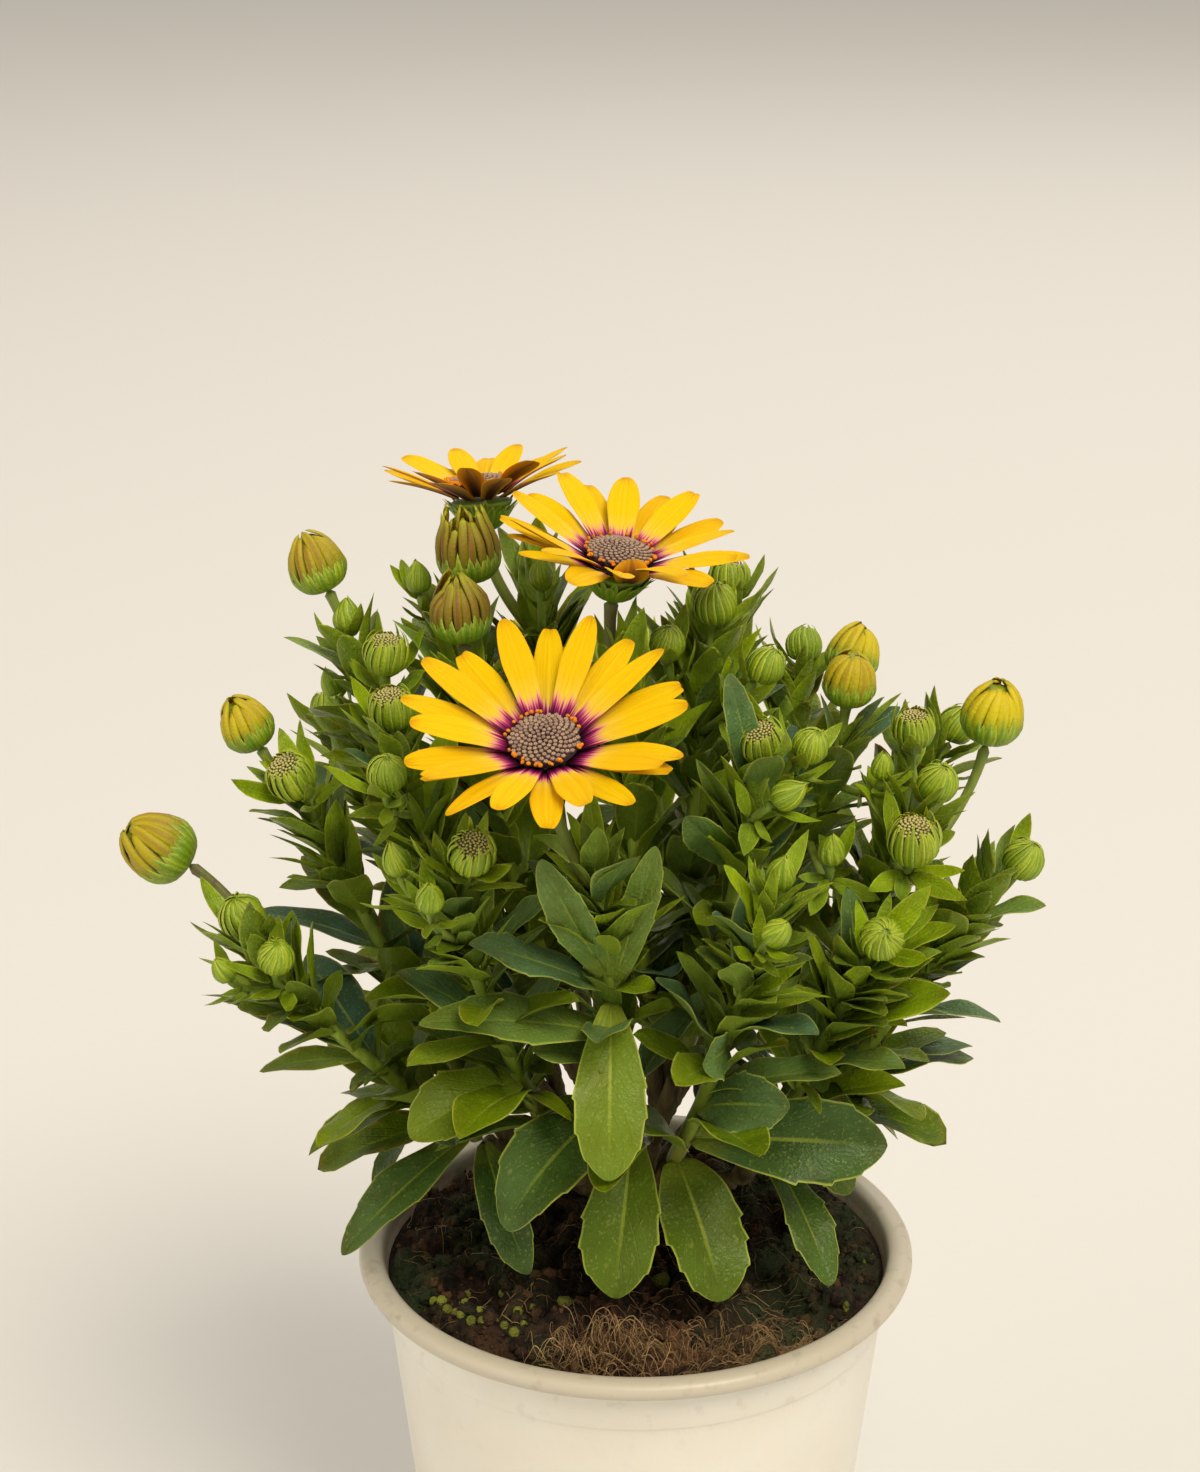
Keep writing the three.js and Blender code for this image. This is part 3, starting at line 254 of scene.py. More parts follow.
def smoothstep(low, high, value):
    """0 below low, 1 above high, and 3t^2 - 2t^3 between them."""
    t = np.clip((np.asarray(value, float) - low) / (high - low), 0, 1)
    return t * t * (3 - 2 * t)


def bezier(points, t):
    """Places and unit headings on a quadratic curve, whose points weigh (1-t)^2, 2t(1-t) and t^2."""
    a, b, c = (np.asarray(p, float) for p in points)
    t = np.asarray(t, float)[..., None]
    place = (1 - t) ** 2 * a + 2 * t * (1 - t) * b + t**2 * c
    return place, unit((1 - t) * (b - a) + t * (c - b))


def spline(points, t):
    """A Catmull-Rom curve through rows of points, at shares t of the way from the first to the last."""
    rows = np.asarray(points, float)
    rows = np.vstack([2 * rows[0] - rows[1], rows, 2 * rows[-1] - rows[-2]])
    step = np.clip(np.asarray(t, float), 0, 1) * (len(rows) - 3)
    first = np.minimum(step.astype(int), len(rows) - 4)
    f = (step - first)[..., None]
    a, b, c, d = (rows[first + n] for n in range(4))
    bend = (c - a) * f + (2 * a - 5 * b + 4 * c - d) * f**2 + (3 * b - a - 3 * c + d) * f**3
    return b + bend / 2


def shoot_curve(name):
    """A shoot from its fork to its tip, bowed out first and then up."""
    fork, tip = np.array(FORKS[SHOOTS[name][0]], float), np.array(SHOOTS[name][1], float)
    return fork, mix(fork, tip, np.array([0.56, 0.56, 0.44])), tip


def branch_curve(fork):
    """A branch of the crown from the trunk's top to a fork."""
    top, tip = np.array(TRUNK[1], float), np.array(FORKS[fork], float)
    return top, mix(top, tip, np.array([0.45, 0.45, 0.7])), tip


def around_z(radius, angle, height):
    """Places at a radius and a height, turned about Z by an angle."""
    return np.stack(np.broadcast_arrays(radius * np.cos(angle), radius * np.sin(angle), height), -1)


def square_to(axis, angle):
    """A unit vector square to an axis, turned about it by an angle."""
    side = np.cross((0, 0, 1), axis)
    side = np.array([1.0, 0, 0]) if np.linalg.norm(side) < 0.05 else unit(side)
    return side * np.cos(angle) + np.cross(axis, side) * np.sin(angle)


def draws(count, state=20240511):
    """The draws of the linear congruential generator that the solids are grown with."""
    found = np.empty(count)
    for i in range(count):
        state = (state * 1664525 + 1013904223) & 0xFFFFFFFF
        found[i] = state / 2**32
    return found


RAY_TOTAL = sum(bloom[3] for bloom in BLOOMS.values())
MOST_LEAVES = max(shoot[2] for shoot in SHOOTS.values())
DRAWS = draws(2 * RAY_TOTAL + len(GREEN_BUDS) + 2 * MOST_LEAVES * len(SHOOTS))
RAY_DRAWS, BRACT_DRAWS, LEAF_DRAWS = np.split(DRAWS, [2 * RAY_TOTAL, 2 * RAY_TOTAL + len(GREEN_BUDS)])
LEAF_DRAWS = LEAF_DRAWS.reshape(MOST_LEAVES, len(SHOOTS), 2)


# ---------------------------------------------------------------- meshes


class Section:
    """The way round a thin blade: over its upper side from margin to margin, and back under it."""

    def __init__(self, *half):
        top = np.array([-v for v in half[::-1]] + [0.0] + list(half))
        self.v = np.concatenate([top, top[-2:0:-1]])
        self.under = np.concatenate([np.zeros(len(top)), np.ones(len(top) - 2)])
        self.margin = np.abs(self.v) == 1
        # the skin's share of half the thickness, which is an ellipse that is squared off
        self.skin = np.sqrt(1 - self.v**4) * np.where(self.under, -1, 1)

    def uv(self, u):
        """UVs of a blade: across from 0 to 1, the same above and below, and along."""
        return np.stack(np.broadcast_arrays((self.v + 1) / 2, u), -1)


# the columns of a shape's table of points
PLACE, UV, LOOK, EDGE, COLUMNS = slice(0, 3), slice(3, 5), slice(5, 9), 9, 10
FLAT_UV = (0.5, 0.5)


class Shape:
    """One mesh in the making: rings of points, each with a UV, a look and a finish.

    A look is four numbers: a tint of its own, its age from old to young, 1 on the underside, and a
    spare share that a finish reads as it likes.
    """

    def __init__(self):
        self.points, self.faces, self.total = [], [], 0

    def add_balls(self, grid, uv, look, finish=0, margin=0.0):
        """Closed bodies from a grid (bodies, rings, around, 3), whose end rings shrink to points."""
        bodies, rings, around, _ = grid.shape
        columns = self._columns(grid, uv, look, np.broadcast_to(margin, around)[:, None])
        foot, head = columns[:, 0].mean(1, keepdims=True), columns[:, -1].mean(1, keepdims=True)
        points = np.concatenate([foot, columns[:, 1:-1].reshape(bodies, -1, COLUMNS), head], axis=1)
        here = np.arange(around)
        after = (here + 1) % around
        low = 1 + around * np.arange(rings - 3)[:, None]
        quads = np.stack([low + here, low + after, low + around + after, low + around + here], -1)
        last = 1 + around * (rings - 3)
        foot = np.stack([0 * here, 1 + after, 1 + here], -1)
        head = np.stack([last + here, last + after, 0 * here + last + around], -1)
        self._keep(points, [quads.reshape(-1, 4), foot, head], finish)

    def add_rings(self, grid, uv, look, finish=0):
        """Closed rings from a grid (bodies, rings, around, 3), whose last ring joins its first."""
        bodies, rings, around, _ = grid.shape
        points = self._columns(grid, uv, look, 0.0).reshape(bodies, -1, COLUMNS)
        here = np.arange(around)
        after = (here + 1) % around
        low = around * np.arange(rings)[:, None]
        high = (low + around) % (rings * around)
        quads = np.stack([low + here, low + after, high + after, high + here], -1)
        self._keep(points, [quads.reshape(-1, 4)], finish)

    def _columns(self, grid, uv, look, edge):
        """A grid of places with their UVs, looks and edge marks beside them."""
        full = grid.shape[:3]
        beside = [np.broadcast_to(value, (*full, wide)) for value, wide in ((uv, 2), (look, 4), (edge, 1))]
        return np.concatenate([grid, *beside], axis=3).astype(float)

    def _keep(self, points, faces, finish):
        """Keeps bodies of points, and faces that count within one body."""
        bodies, count, _ = points.shape
        starts = self.total + count * np.arange(bodies)
        for group in faces:
            self.faces.append(((starts[:, None, None] + group).reshape(-1, group.shape[1]), finish))
        self.points.append(points.reshape(-1, COLUMNS))
        self.total += bodies * count

    def to_object(self, name, materials, replaced):
        """Makes the mesh object, in metres, and hands it to the frame in place of a CAD node."""
        columns = np.concatenate(self.points)
        corners = np.concatenate([group.ravel() for group, _ in self.faces])
        sizes = np.concatenate([np.full(len(group), group.shape[1]) for group, _ in self.faces])
        finishes = np.concatenate([np.full(len(group), finish) for group, finish in self.faces])
        mesh = bpy.data.meshes.new(name)
        mesh.vertices.add(len(columns))
        # a few tips curl up to 0.2 mm past the frame, and are pressed back to it
        places = np.clip(columns[:, PLACE] * MM, *CAD_BOX)
        mesh.vertices.foreach_set("co", places.astype(np.float32).ravel())
        mesh.loops.add(len(corners))
        mesh.loops.foreach_set("vertex_index", corners.astype(np.int32))
        mesh.polygons.add(len(sizes))
        mesh.polygons.foreach_set("loop_start", np.concatenate([[0], np.cumsum(sizes)[:-1]]).astype(np.int32))
        mesh.polygons.foreach_set("material_index", finishes.astype(np.int32))
        mesh.update(calc_edges=True)
        mesh.polygons.foreach_set("use_smooth", np.ones(len(sizes), bool))
        layer = mesh.uv_layers.new(name="surface")
        layer.data.foreach_set("uv", columns[corners, UV].astype(np.float32).ravel())
        look = mesh.attributes.new("look", "FLOAT_COLOR", "POINT")
        look.data.foreach_set("color", columns[:, LOOK].astype(np.float32).ravel())
        ends = np.empty(2 * len(mesh.edges), np.int32)
        mesh.edges.foreach_get("vertices", ends)
        # an edge between two points of a margin stays crisp
        sharp = (columns[ends, EDGE] > 0.99).reshape(-1, 2).all(1)
        mesh.edges.foreach_set("use_edge_sharp", sharp)
        for material in materials:
            mesh.materials.append(material)
        mesh.validate()
        piece = bpy.data.objects.new(name, mesh)
        bpy.context.scene.collection.objects.link(piece)
        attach(piece, "root")
        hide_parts(replaced)
        return piece


def round_uv(along, around):
    """UVs of rings: how far along, and 0 to 1 and back round them, so that there is no seam."""
    turn = np.abs(2 * np.arange(around) / around - 1)
    along = np.asarray(along, float)
    return np.stack(np.broadcast_arrays(turn, along[..., None]), -1)


def look_of(tint=0.5, age=0.0, under=0.0, extra=0.0):
    """A look, or an array of them."""
    return np.stack(np.broadcast_arrays(tint, age, under, extra), -1).astype(float)


def tube_grid(curve, t, radius, around, ridge=0.0, ridges=5):
    """Rings about a quadratic curve. The radius at an angle is r (1 + ridge cos(ridges angle))."""
    place, heading = bezier(curve, t)
    _, ends = bezier(curve, [0.0, 1.0])
    across = np.cross(ends[0], ends[1])
    across = unit(across) if np.linalg.norm(across) > 1e-3 else square_to(ends[0], 0.0)
    front = np.cross(heading, across)
    angle = 2 * np.pi * np.arange(around) / around
    reach = np.asarray(radius, float)[..., None] * (1 + ridge * np.cos(ridges * angle))
    ring = across * np.cos(angle)[:, None] + front[:, None] * np.sin(angle)[:, None]
    return (place[:, None] + ring * reach[..., None])[None]


def blade_frame(root, tip, up, bend):
    """Frames of blades that run along an arc from root to tip.

    The arc starts towards the blade's upper side and turns away from it by the bend, so its radius is
    the chord over 2 sin(bend/2).
    """
    chord = tip - root
    length = np.linalg.norm(chord, axis=1, keepdims=True)
    chord = chord / length
    over = unit(up - (up * chord).sum(1, keepdims=True) * chord)
    half = bend[:, None] / 2
    start = chord * np.cos(half) + over * np.sin(half)
    normal = over * np.cos(half) - chord * np.sin(half)
    return root, start, normal, np.cross(start, normal), length / (2 * np.sin(half)), bend


def blade_grid(frames, u, reach, rise, twist=0.0):
    """Places on blades, as a grid (blades, rings, around, 3).

    u is the share of the arc, reach the signed way out to its side and rise the way off its upper
    side, both in millimetres. Side and upper side turn about the arc by twist times u.
    """
    root, start, normal, side, radius, bend = (part[:, None, None] for part in frames)
    angle = bend[..., None] * u
    up = start * np.sin(angle) + normal * np.cos(angle)
    turn = np.asarray(twist, float).reshape(-1, 1, 1, 1) * u
    out = side * np.cos(turn) + up * np.sin(turn)
    over = up * np.cos(turn) - side * np.sin(turn)
    middle = root + start * radius * np.sin(angle) - normal * radius * (1 - np.cos(angle))
    return middle + out * reach[..., None] + over * rise[..., None]


def strip_grid(line, azimuth, half, section, rise):
    """Strips that stand in a ring about Z, as a grid (strips, rings, around, 3).

    line holds radius and height along each strip, and azimuth its turn about Z there. A point lies
    off it by rise, square to the line, and turns from the azimuth by its half width times v over the
    radius.
    """
    slope = np.gradient(line, axis=1)
    slope /= np.linalg.norm(slope, axis=2, keepdims=True)
    radius = line[..., None, 0] + slope[..., None, 1] * rise
    height = line[..., None, 1] - slope[..., None, 0] * rise
    arc = np.clip(section.v * half[..., None] / np.maximum(line[..., None, 0], 0.4), -1.3, 1.3)
    return around_z(radius, azimuth[..., None] + arc, height)


def lathe_grid(profile, around, ridge=0.0, ridges=8):
    """Rings about Z from rows of radius and height, the radius scaled by 1 + ridge cos(ridges angle)."""
    angle = 2 * np.pi * np.arange(around) / around
    radius = profile[:, :1] * (1 + np.reshape(ridge, (-1, 1)) * np.cos(ridges * angle))
    return around_z(radius, angle, profile[:, 1:])[None]


# ---------------------------------------------------------------- materials

TIMES, PLUS, MINUS = ({"operation": name} for name in ("MULTIPLY", "ADD", "SUBTRACT"))
SMOOTH = {"interpolation_type": "SMOOTHSTEP"}
BLEND = {"data_type": "RGBA"}
LINE = {"noise_dimensions": "1D"}
OBJECT = {"output": 3}

# scales of noise, in repeats per metre: hairs 0.6 mm apart, and meal and dust 0.4 mm apart
HAIRS, MEAL = 1600.0, 2500.0
LEAF_IOR, PETAL_IOR, FOLDED_IOR, DRY_IOR, PLASTIC_IOR = 1.45, 1.4, 1.42, 1.35, 1.49


def colour(text):
    """An sRGB hex value as linear RGBA, by the two-part sRGB curve."""
    srgb = np.array([int(text[i : i + 2], 16) / 255 for i in (1, 3, 5)])
    linear = np.where(srgb <= 0.04045, srgb / 12.92, ((srgb + 0.055) / 1.055) ** 2.4)
    return (*linear.tolist(), 1.0)


def node(tree, kind, *values, stops=None, output=0, sockets=None, **settings):
    """Adds a node with its settings, its ramp's stops and its links, and returns one of its outputs.

    The values fill the node's inputs in order, and None leaves one as it is. Sockets fills them by
    name. A value is a number, a vector, a colour in sRGB hex or an output of another node.
    """
    made = tree.nodes.new("ShaderNode" + kind)
    for key, value in settings.items():
        setattr(made, key, value)
    if stops:
        ramp = made.color_ramp.elements
        while len(ramp) < len(stops):
            ramp.new(1.0)
        for element, (position, shade) in zip(ramp, stops):
            element.position, element.color = position, colour(shade)
    filled = list(zip([socket for socket in made.inputs if socket.enabled], values))
    filled += [(made.inputs[name], value) for name, value in (sockets or {}).items()]
    for socket, value in filled:
        if isinstance(value, bpy.types.NodeSocket):
            tree.links.new(value, socket)
        elif value is not None:
            socket.default_value = colour(value) if isinstance(value, str) else value
    shown = [socket for socket in made.outputs if socket.enabled]
    return shown[output] if shown else made


def new_material(name):
    """An empty material, and node() for its tree."""
    material = bpy.data.materials.new(name)
    material.use_nodes = True
    material.node_tree.nodes.clear()
    return material, functools.partial(node, material.node_tree)


def read_surface(add):
    """What a finish reads of its surface, by the names that are given here."""
    uv = add("SeparateXYZ", add("UVMap", uv_map="surface")).node.outputs
    look = add("Attribute", attribute_name="look").node.outputs
    tint, age, under = add("SeparateColor", look["Color"]).node.outputs[:3]
    off_middle = add("Math", add("Math", uv[0], 0.5, **MINUS), operation="ABSOLUTE")
    return types.SimpleNamespace(
        across=uv[0], off=off_middle, along=uv[1], tint=tint, age=age, under=under, spare=look["Alpha"]
    )


def light_through(weight, depth):
    """Sockets of a thin part that light comes through, to a depth in metres."""
    return {"Subsurface Weight": weight, "Subsurface Scale": depth}


def finish_material(add, base, layers, rough, depth, more=None, height=None, grain=MEAL, detail=1.0):
    """Ends a material: shades over its base, each by its share, and bump of a depth in metres.

    The bump is that of a grain of noise, unless the finish has a height of its own. More fills other
    sockets of the shader.
    """
    for share, shade in layers:
        base = add("Mix", share, base, shade, **BLEND)
    if height is None:
        height = add("TexNoise", add("TexCoord", **OBJECT), grain, detail)
    normal = add("Bump", 1.0, depth, None, height)
    sockets = {"Base Color": base, "Roughness": rough, "Normal": normal, **(more or {})}
    add("OutputMaterial", add("BsdfPrincipled", sockets=sockets))


def leaf_material(look):
    """Osteospermum leaf: a tough blade with a satin cuticle, a pale rib and a fine pale felt on its edge."""
    material, add = new_material("leaf_waxy_green")
    here, place = read_surface(add), add("TexCoord", **OBJECT)
    # the rib is 0.5 mm wide at the foot of a large leaf and runs out before the tip
    rib = add("MapRange", here.off, 0.01, 0.036, 1.0, 0.0, **SMOOTH)
    rib = add("Math", rib, add("MapRange", here.along, 0.45, 0.95, 1.0, 0.0, **SMOOTH), **TIMES)
    # side veins leave the rib every seventh of the blade and run forwards to its edge
    forwards, outwards = add("Math", here.along, 44.0, **TIMES), add("Math", here.off, 42.0, **TIMES)
    waves = add("Math", add("Math", forwards, outwards, **MINUS), operation="SINE")
    vein = add("MapRange", here.off, 0.3, 0.44, 1.0, 0.0, **SMOOTH)
    vein = add("Math", add("MapRange", waves, 0.86, 1.0, **SMOOTH), vein, **TIMES)
    # the felt is broader on young leaves
    edge = add("MapRange", here.off, add("MapRange", here.age, 0.2, 0.8, 0.462, 0.42), 0.49, **SMOOTH)
    # cloudy patches 8 mm across, puckers of 2.4 mm, a 0.7 mm grain of hairs, and yellow flecks
    patches = add("TexNoise", place, 130.0, 4.0)
    puckers = add("TexNoise", place, 420.0, 2.0)
    grain = add("TexNoise", place, 1500.0, 1.0)
    flecks = add("MapRange", puckers, 0.66, 0.74, **SMOOTH)
    base = add("Mix", here.age, look.leaf_colour, look.young_colour, **BLEND)
    # painted reflection: the bluish sheen of the sky, laid over the leaf by its spare share
    base = add("Mix", here.spare, base, look.painted_sheen_colour, **BLEND)
    rib_shade = add("Mix", here.age, look.rib_colour, "#A3C044", **BLEND)
    layers = (
        (add("MapRange", patches, 0.38, 0.68, **SMOOTH), add("Mix", 0.5, base, "#243408", **BLEND)),
        (add("MapRange", here.tint, 0.3, 1.0, 0.0, 0.32), look.warm_colour),
        (add("Math", flecks, 0.22, **TIMES), "#A9A84A"),
        (add("MapRange", here.along, 0.02, 0.3, 0.6, 0.0, **SMOOTH), look.rib_colour),
        (add("MapRange", grain, 0.6, 0.72, 0.0, 0.22, **SMOOTH), "#A5B860"),
        (add("Math", rib, 0.52, **TIMES), rib_shade),
        (add("Math", vein, 0.06, **TIMES), rib_shade),
        (add("Math", here.under, 0.5, **TIMES), look.underside_colour),
        (add("Math", edge, 0.55, **TIMES), look.edge_colour),
    )
    height = add("Math", add("Math", grain, 0.5, **TIMES), add("Math", vein, 0.2, **TIMES), **MINUS)
    height = add("Math", add("Math", height, patches, **PLUS), add("Math", puckers, 0.5, **TIMES), **PLUS)
    rough = add("MapRange", patches, 0.3, 0.75, 0.25, 0.44)
    more = {"IOR": LEAF_IOR, "Specular IOR Level": 0.22, **light_through(0.1, 0.0015)}
    finish_material(add, base, layers, rough, 0.0004, more, height)
    return material


def stem_material(look):
    """Osteospermum stem: juicy green above, corky brown at its foot, ribbed and finely felted."""
    material, add = new_material("stem_ribbed_green")
    here = read_surface(add)
    stops = [(0.0, "#63502A"), (0.16, "#75692E"), (0.4, look.stem_colour), (1.0, "#8CA638")]
    # streaks run along the stem, about 1.5 mm wide and 12 mm long
    streak = add("TexNoise", add("Mapping", add("TexCoord", **OBJECT), None, None, (1, 1, 0.12)), 700.0, 3.0)
    layers = (
        (add("MapRange", streak, 0.4, 0.7, 0.0, 0.45), "#476119"),
        (add("Math", here.spare, add("MapRange", streak, 0.3, 0.66, 1.0, 0.45), **TIMES), look.stalk_colour),
    )
    base, more = add("ValToRGB", here.along, stops=stops), {"IOR": LEAF_IOR, "Sheen Weight": 0.15}
    finish_material(add, base, layers, 0.5, 0.0003, more, streak)
    return material


def bract_material(look):
    """Green bracts of a bud: thin leaves with a dark green middle line and pale dry margins."""
    material, add = new_material("bract_striped_green")
    here = read_surface(add)
    layers = (
        (add("MapRange", here.tint, 0.0, 1.0, 0.0, 0.6), "#76981A"),
        (add("MapRange", here.off, 0.1, 0.27, 0.3, 0.0, **SMOOTH), "#4F7618"),
        (add("MapRange", here.off, 0.02, 0.08, 0.35, 0.0, **SMOOTH), "#41600F"),
        (add("MapRange", here.off, 0.34, 0.45, 0.0, 0.75, **SMOOTH), "#BECB62"),
        (add("MapRange", here.along, 0.7, 1.0, 0.0, 0.6, **SMOOTH), "#B4C136"),
        (add("MapRange", here.along, 0.0, 0.3, 0.4, 0.0, **SMOOTH), "#7E9A52"),
    )
    base = add("Mix", here.age, "#668E1A", look.bud_colour, **BLEND)
    more = {"IOR": LEAF_IOR, **light_through(0.12, 0.0015)}
    finish_material(add, base, layers, 0.48, 0.0002, more, grain=HAIRS, detail=2.0)
    return material


def button_material():
    """The crowded closed florets in an opening bud: beige-green beads, painted near black at their feet as
    shade in the gaps between them.
    """
    material, add = new_material("button_florets_green")
    # painted shade: the beads' feet are near black, for the shade in the gaps between them
    stops = [(0.0, "#222C0C"), (0.45, "#6A6C30"), (1.0, "#C8BE78")]
    base = add("ValToRGB", read_surface(add).along, stops=stops)
    finish_material(add, base, (), 0.6, 0.0001, {"IOR": LEAF_IOR})
    return material


def ray_material(look):
    """Ray petal: thin and waxy with a soft sheen. Its foot runs from dark purple over magenta to white."""
    material, add = new_material("ray_petal_yellow")
    here = read_surface(add)
    # flames: the purple runs out further along some of a ray's seven nerves than along others
    turn = add("Math", add("Math", here.across, 11.0, **TIMES), add("Math", here.tint, 57.0, **TIMES), **PLUS)
    flames = add("MapRange", add("TexNoise", turn, 1.0, 3.0, **LINE), 0.3, 0.7, -0.05, 0.05)
    closer = add("MapRange", here.off, 0.15, 0.5, 0.015, -0.035)
    reach = add("Math", add("Math", here.along, flames, **PLUS), closer, **PLUS)
    stops = [
        (0.0, "#1C0718"),
        (0.12, "#3A0A2C"),
        (0.17, look.eye_colour),
        (0.21, "#B93A78"),
        (0.25, "#F2A08C"),
        (0.30, "#FFD23C"),
        (0.5, look.ray_colour),
        (0.9, look.ray_colour),
        (1.0, look.ray_edge_colour),
    ]
    pleats = add("Math", add("Math", here.across, 44.0, **TIMES), operation="SINE")
    nerves = add("MapRange", here.along, 0.3, 0.6, 0.0, 0.12)
    nerves = add("Math", add("MapRange", pleats, -1.0, 1.0, **SMOOTH), nerves, **TIMES)
    # one ray in a few is riper and more orange, and all are at their margins
    past_eye = add("MapRange", here.along, 0.3, 0.45)
    ripe = add("Math", add("MapRange", here.tint, 0.5, 1.0, 0.0, 0.5), past_eye, **TIMES)
    margin = add("Math", add("MapRange", here.off, 0.4, 0.5, 0.0, 0.45, **SMOOTH), past_eye, **TIMES)
    edge = look.ray_edge_colour
    top = add("ValToRGB", reach, stops=stops)
    for share, shade in ((nerves, edge), (ripe, look.ray_ripe_colour), (margin, edge)):
        top = add("Mix", share, top, shade, **BLEND)
    # the back is bronze with yellow margins and a brown middle line
    back_stops = [(0.0, "#241014"), (0.28, "#4A2816"), (0.6, "#865412"), (1.0, "#C98E10")]
    back = add("ValToRGB", reach, stops=back_stops)
    back = add("Mix", add("MapRange", here.off, 0.14, 0.46, 0.0, 0.7, **SMOOTH), back, "#DFA008", **BLEND)
    back = add("Mix", add("MapRange", here.off, 0.0, 0.13, 0.5, 0.0, **SMOOTH), back, "#56291A", **BLEND)
    # fine cell rows run along the petal, 0.1 mm apart
    rows = add("TexNoise", add("Math", here.across, 60.0, **TIMES), 1.0, **LINE)
    more = {"IOR": PETAL_IOR, "Specular IOR Level": 0.15, **light_through(0.15, 0.002)}
    finish_material(add, top, ((here.under, back),), 0.55, 0.00012, more, rows)
    return material


def folded_ray_material():
    """Ray petals still rolled in the bud: yellow ribs, brown-purple streaks in the folds, green feet."""
    material, add = new_material("ray_petal_folded")
    here = read_surface(add)
    bronze = here.spare
    bright = [(0.0, "#6D8A14"), (0.34, "#8FA014"), (0.5, "#CCC00A"), (0.8, "#D4BE0A"), (1.0, "#969214")]
    dull = [(0.0, "#66741A"), (0.3, "#7A720E"), (0.6, "#86740A"), (0.85, "#98920E"), (1.0, "#AEB01C")]
    bright, dull = (add("ValToRGB", here.along, stops=stops) for stops in (bright, dull))
    streak = add("MapRange", here.tint, 0.2, 0.9, 0.05, add("MapRange", bronze, 0.0, 1.0, 0.35, 0.85))
    streak = add("Math", streak, add("MapRange", here.off, 0.08, 0.24, 1.0, 0.0, **SMOOTH), **TIMES)
    streak = add("Math", streak, add("MapRange", here.along, 0.72, 1.0, 1.0, 0.4), **TIMES)
    most = add("MapRange", bronze, 0.0, 1.0, 0.4, 0.9)
    layers = (
        (streak, add("Mix", bronze, "#9A7210", "#7C4A1C", **BLEND)),
        (add("MapRange", here.off, 0.36, 0.49, 0.0, most, **SMOOTH), "#3E2410"),
    )
    base = add("Mix", bronze, bright, dull, **BLEND)
    more = {"IOR": FOLDED_IOR, **light_through(0.1, 0.0015)}
    finish_material(add, base, layers, 0.5, 0.0002, more, grain=HAIRS, detail=2.0)
    return material


def disc_material(look):
    """Disc florets: mealy taupe stars whose dark purple feet are painted near black as shade in the gaps, and
    whose pale tips are partly a painted highlight.
    """
    material, add = new_material("disc_floret_taupe")
    here = read_surface(add)
    # painted shade: near black at the florets' feet and on the dome under them; painted highlight, in part:
    # the pale tips
    stops = [(0.0, "#12060C"), (0.42, "#331C22"), (0.78, look.disc_colour), (1.0, "#C2A88A")]
    layers = ((add("MapRange", here.tint, 0.2, 1.0, 0.0, 0.45), "#5A4040"),)
    base, more = add("ValToRGB", here.along, stops=stops), {"IOR": PETAL_IOR, "Sheen Weight": 0.1}
    finish_material(add, base, layers, 0.75, 0.0001, more)
    return material


def pollen_material(look):
    """Pollen: dry loose orange grains, so rough and without gloss."""
    material, add = new_material("pollen_orange")
    grains = add("TexNoise", add("TexCoord", **OBJECT), MEAL, 2.0)
    layers = ((add("MapRange", grains, 0.3, 0.7), "#D27C08"),)
    finish_material(add, look.pollen_colour, layers, 0.85, 0.0003, height=grains)
    return material


def bark_material(look):
    """Corky young bark: grey-brown with green showing through along its cracks."""
    material, add = new_material("bark_corky_brown")
    place = add("TexCoord", **OBJECT)
    # cracks 2 mm wide and 10 mm long, and green patches of 11 mm
    streak = add("TexNoise", add("Mapping", place, None, None, (1, 1, 0.25)), 420.0, 5.0)
    green = add("MapRange", add("TexNoise", place, 90.0, 3.0), 0.48, 0.7, 0.0, 0.6)
    layers = ((add("MapRange", streak, 0.35, 0.65), look.bark_colour), (green, "#64682E"))
    finish_material(add, "#3E301C", layers, 0.8, 0.0006, {"IOR": LEAF_IOR}, streak)
    return material


def pot_material(look):
    """Injection-moulded polypropylene, drawn thin: warm white and satin, greyer on the rolled rim."""
    material, add = new_material("polypropylene_ivory")
    place = add("TexCoord", **OBJECT)
    height = add("SeparateXYZ", place).node.outputs[2]
    rim = add("MapRange", height, 0.1025, 0.1035)
    # handling marks of 22 mm, and peat dust in 4 mm spots that gathers towards the rim
    mottle = add("TexNoise", place, 45.0, 4.0)
    dust = add("MapRange", add("TexNoise", place, 260.0, 6.0), 0.58, 0.76, 0.0, 0.35)
    layers = (
        (add("MapRange", mottle, 0.35, 0.7, 0.0, 0.4), look.worn_colour),
        (add("Math", rim, 0.9, **TIMES), look.rim_colour),
        (add("Math", dust, add("MapRange", height, 0.088, 0.104, 0.1, 1.0), **TIMES), "#7E6A54"),
    )
    rough = add("MapRange", mottle, 0.3, 0.7, 0.34, 0.46)
    more = {"IOR": PLASTIC_IOR, **light_through(0.1, 0.003)}
    finish_material(add, look.wall_colour, layers, rough, 0.00006, more, grain=900.0, detail=3.0)
    return material


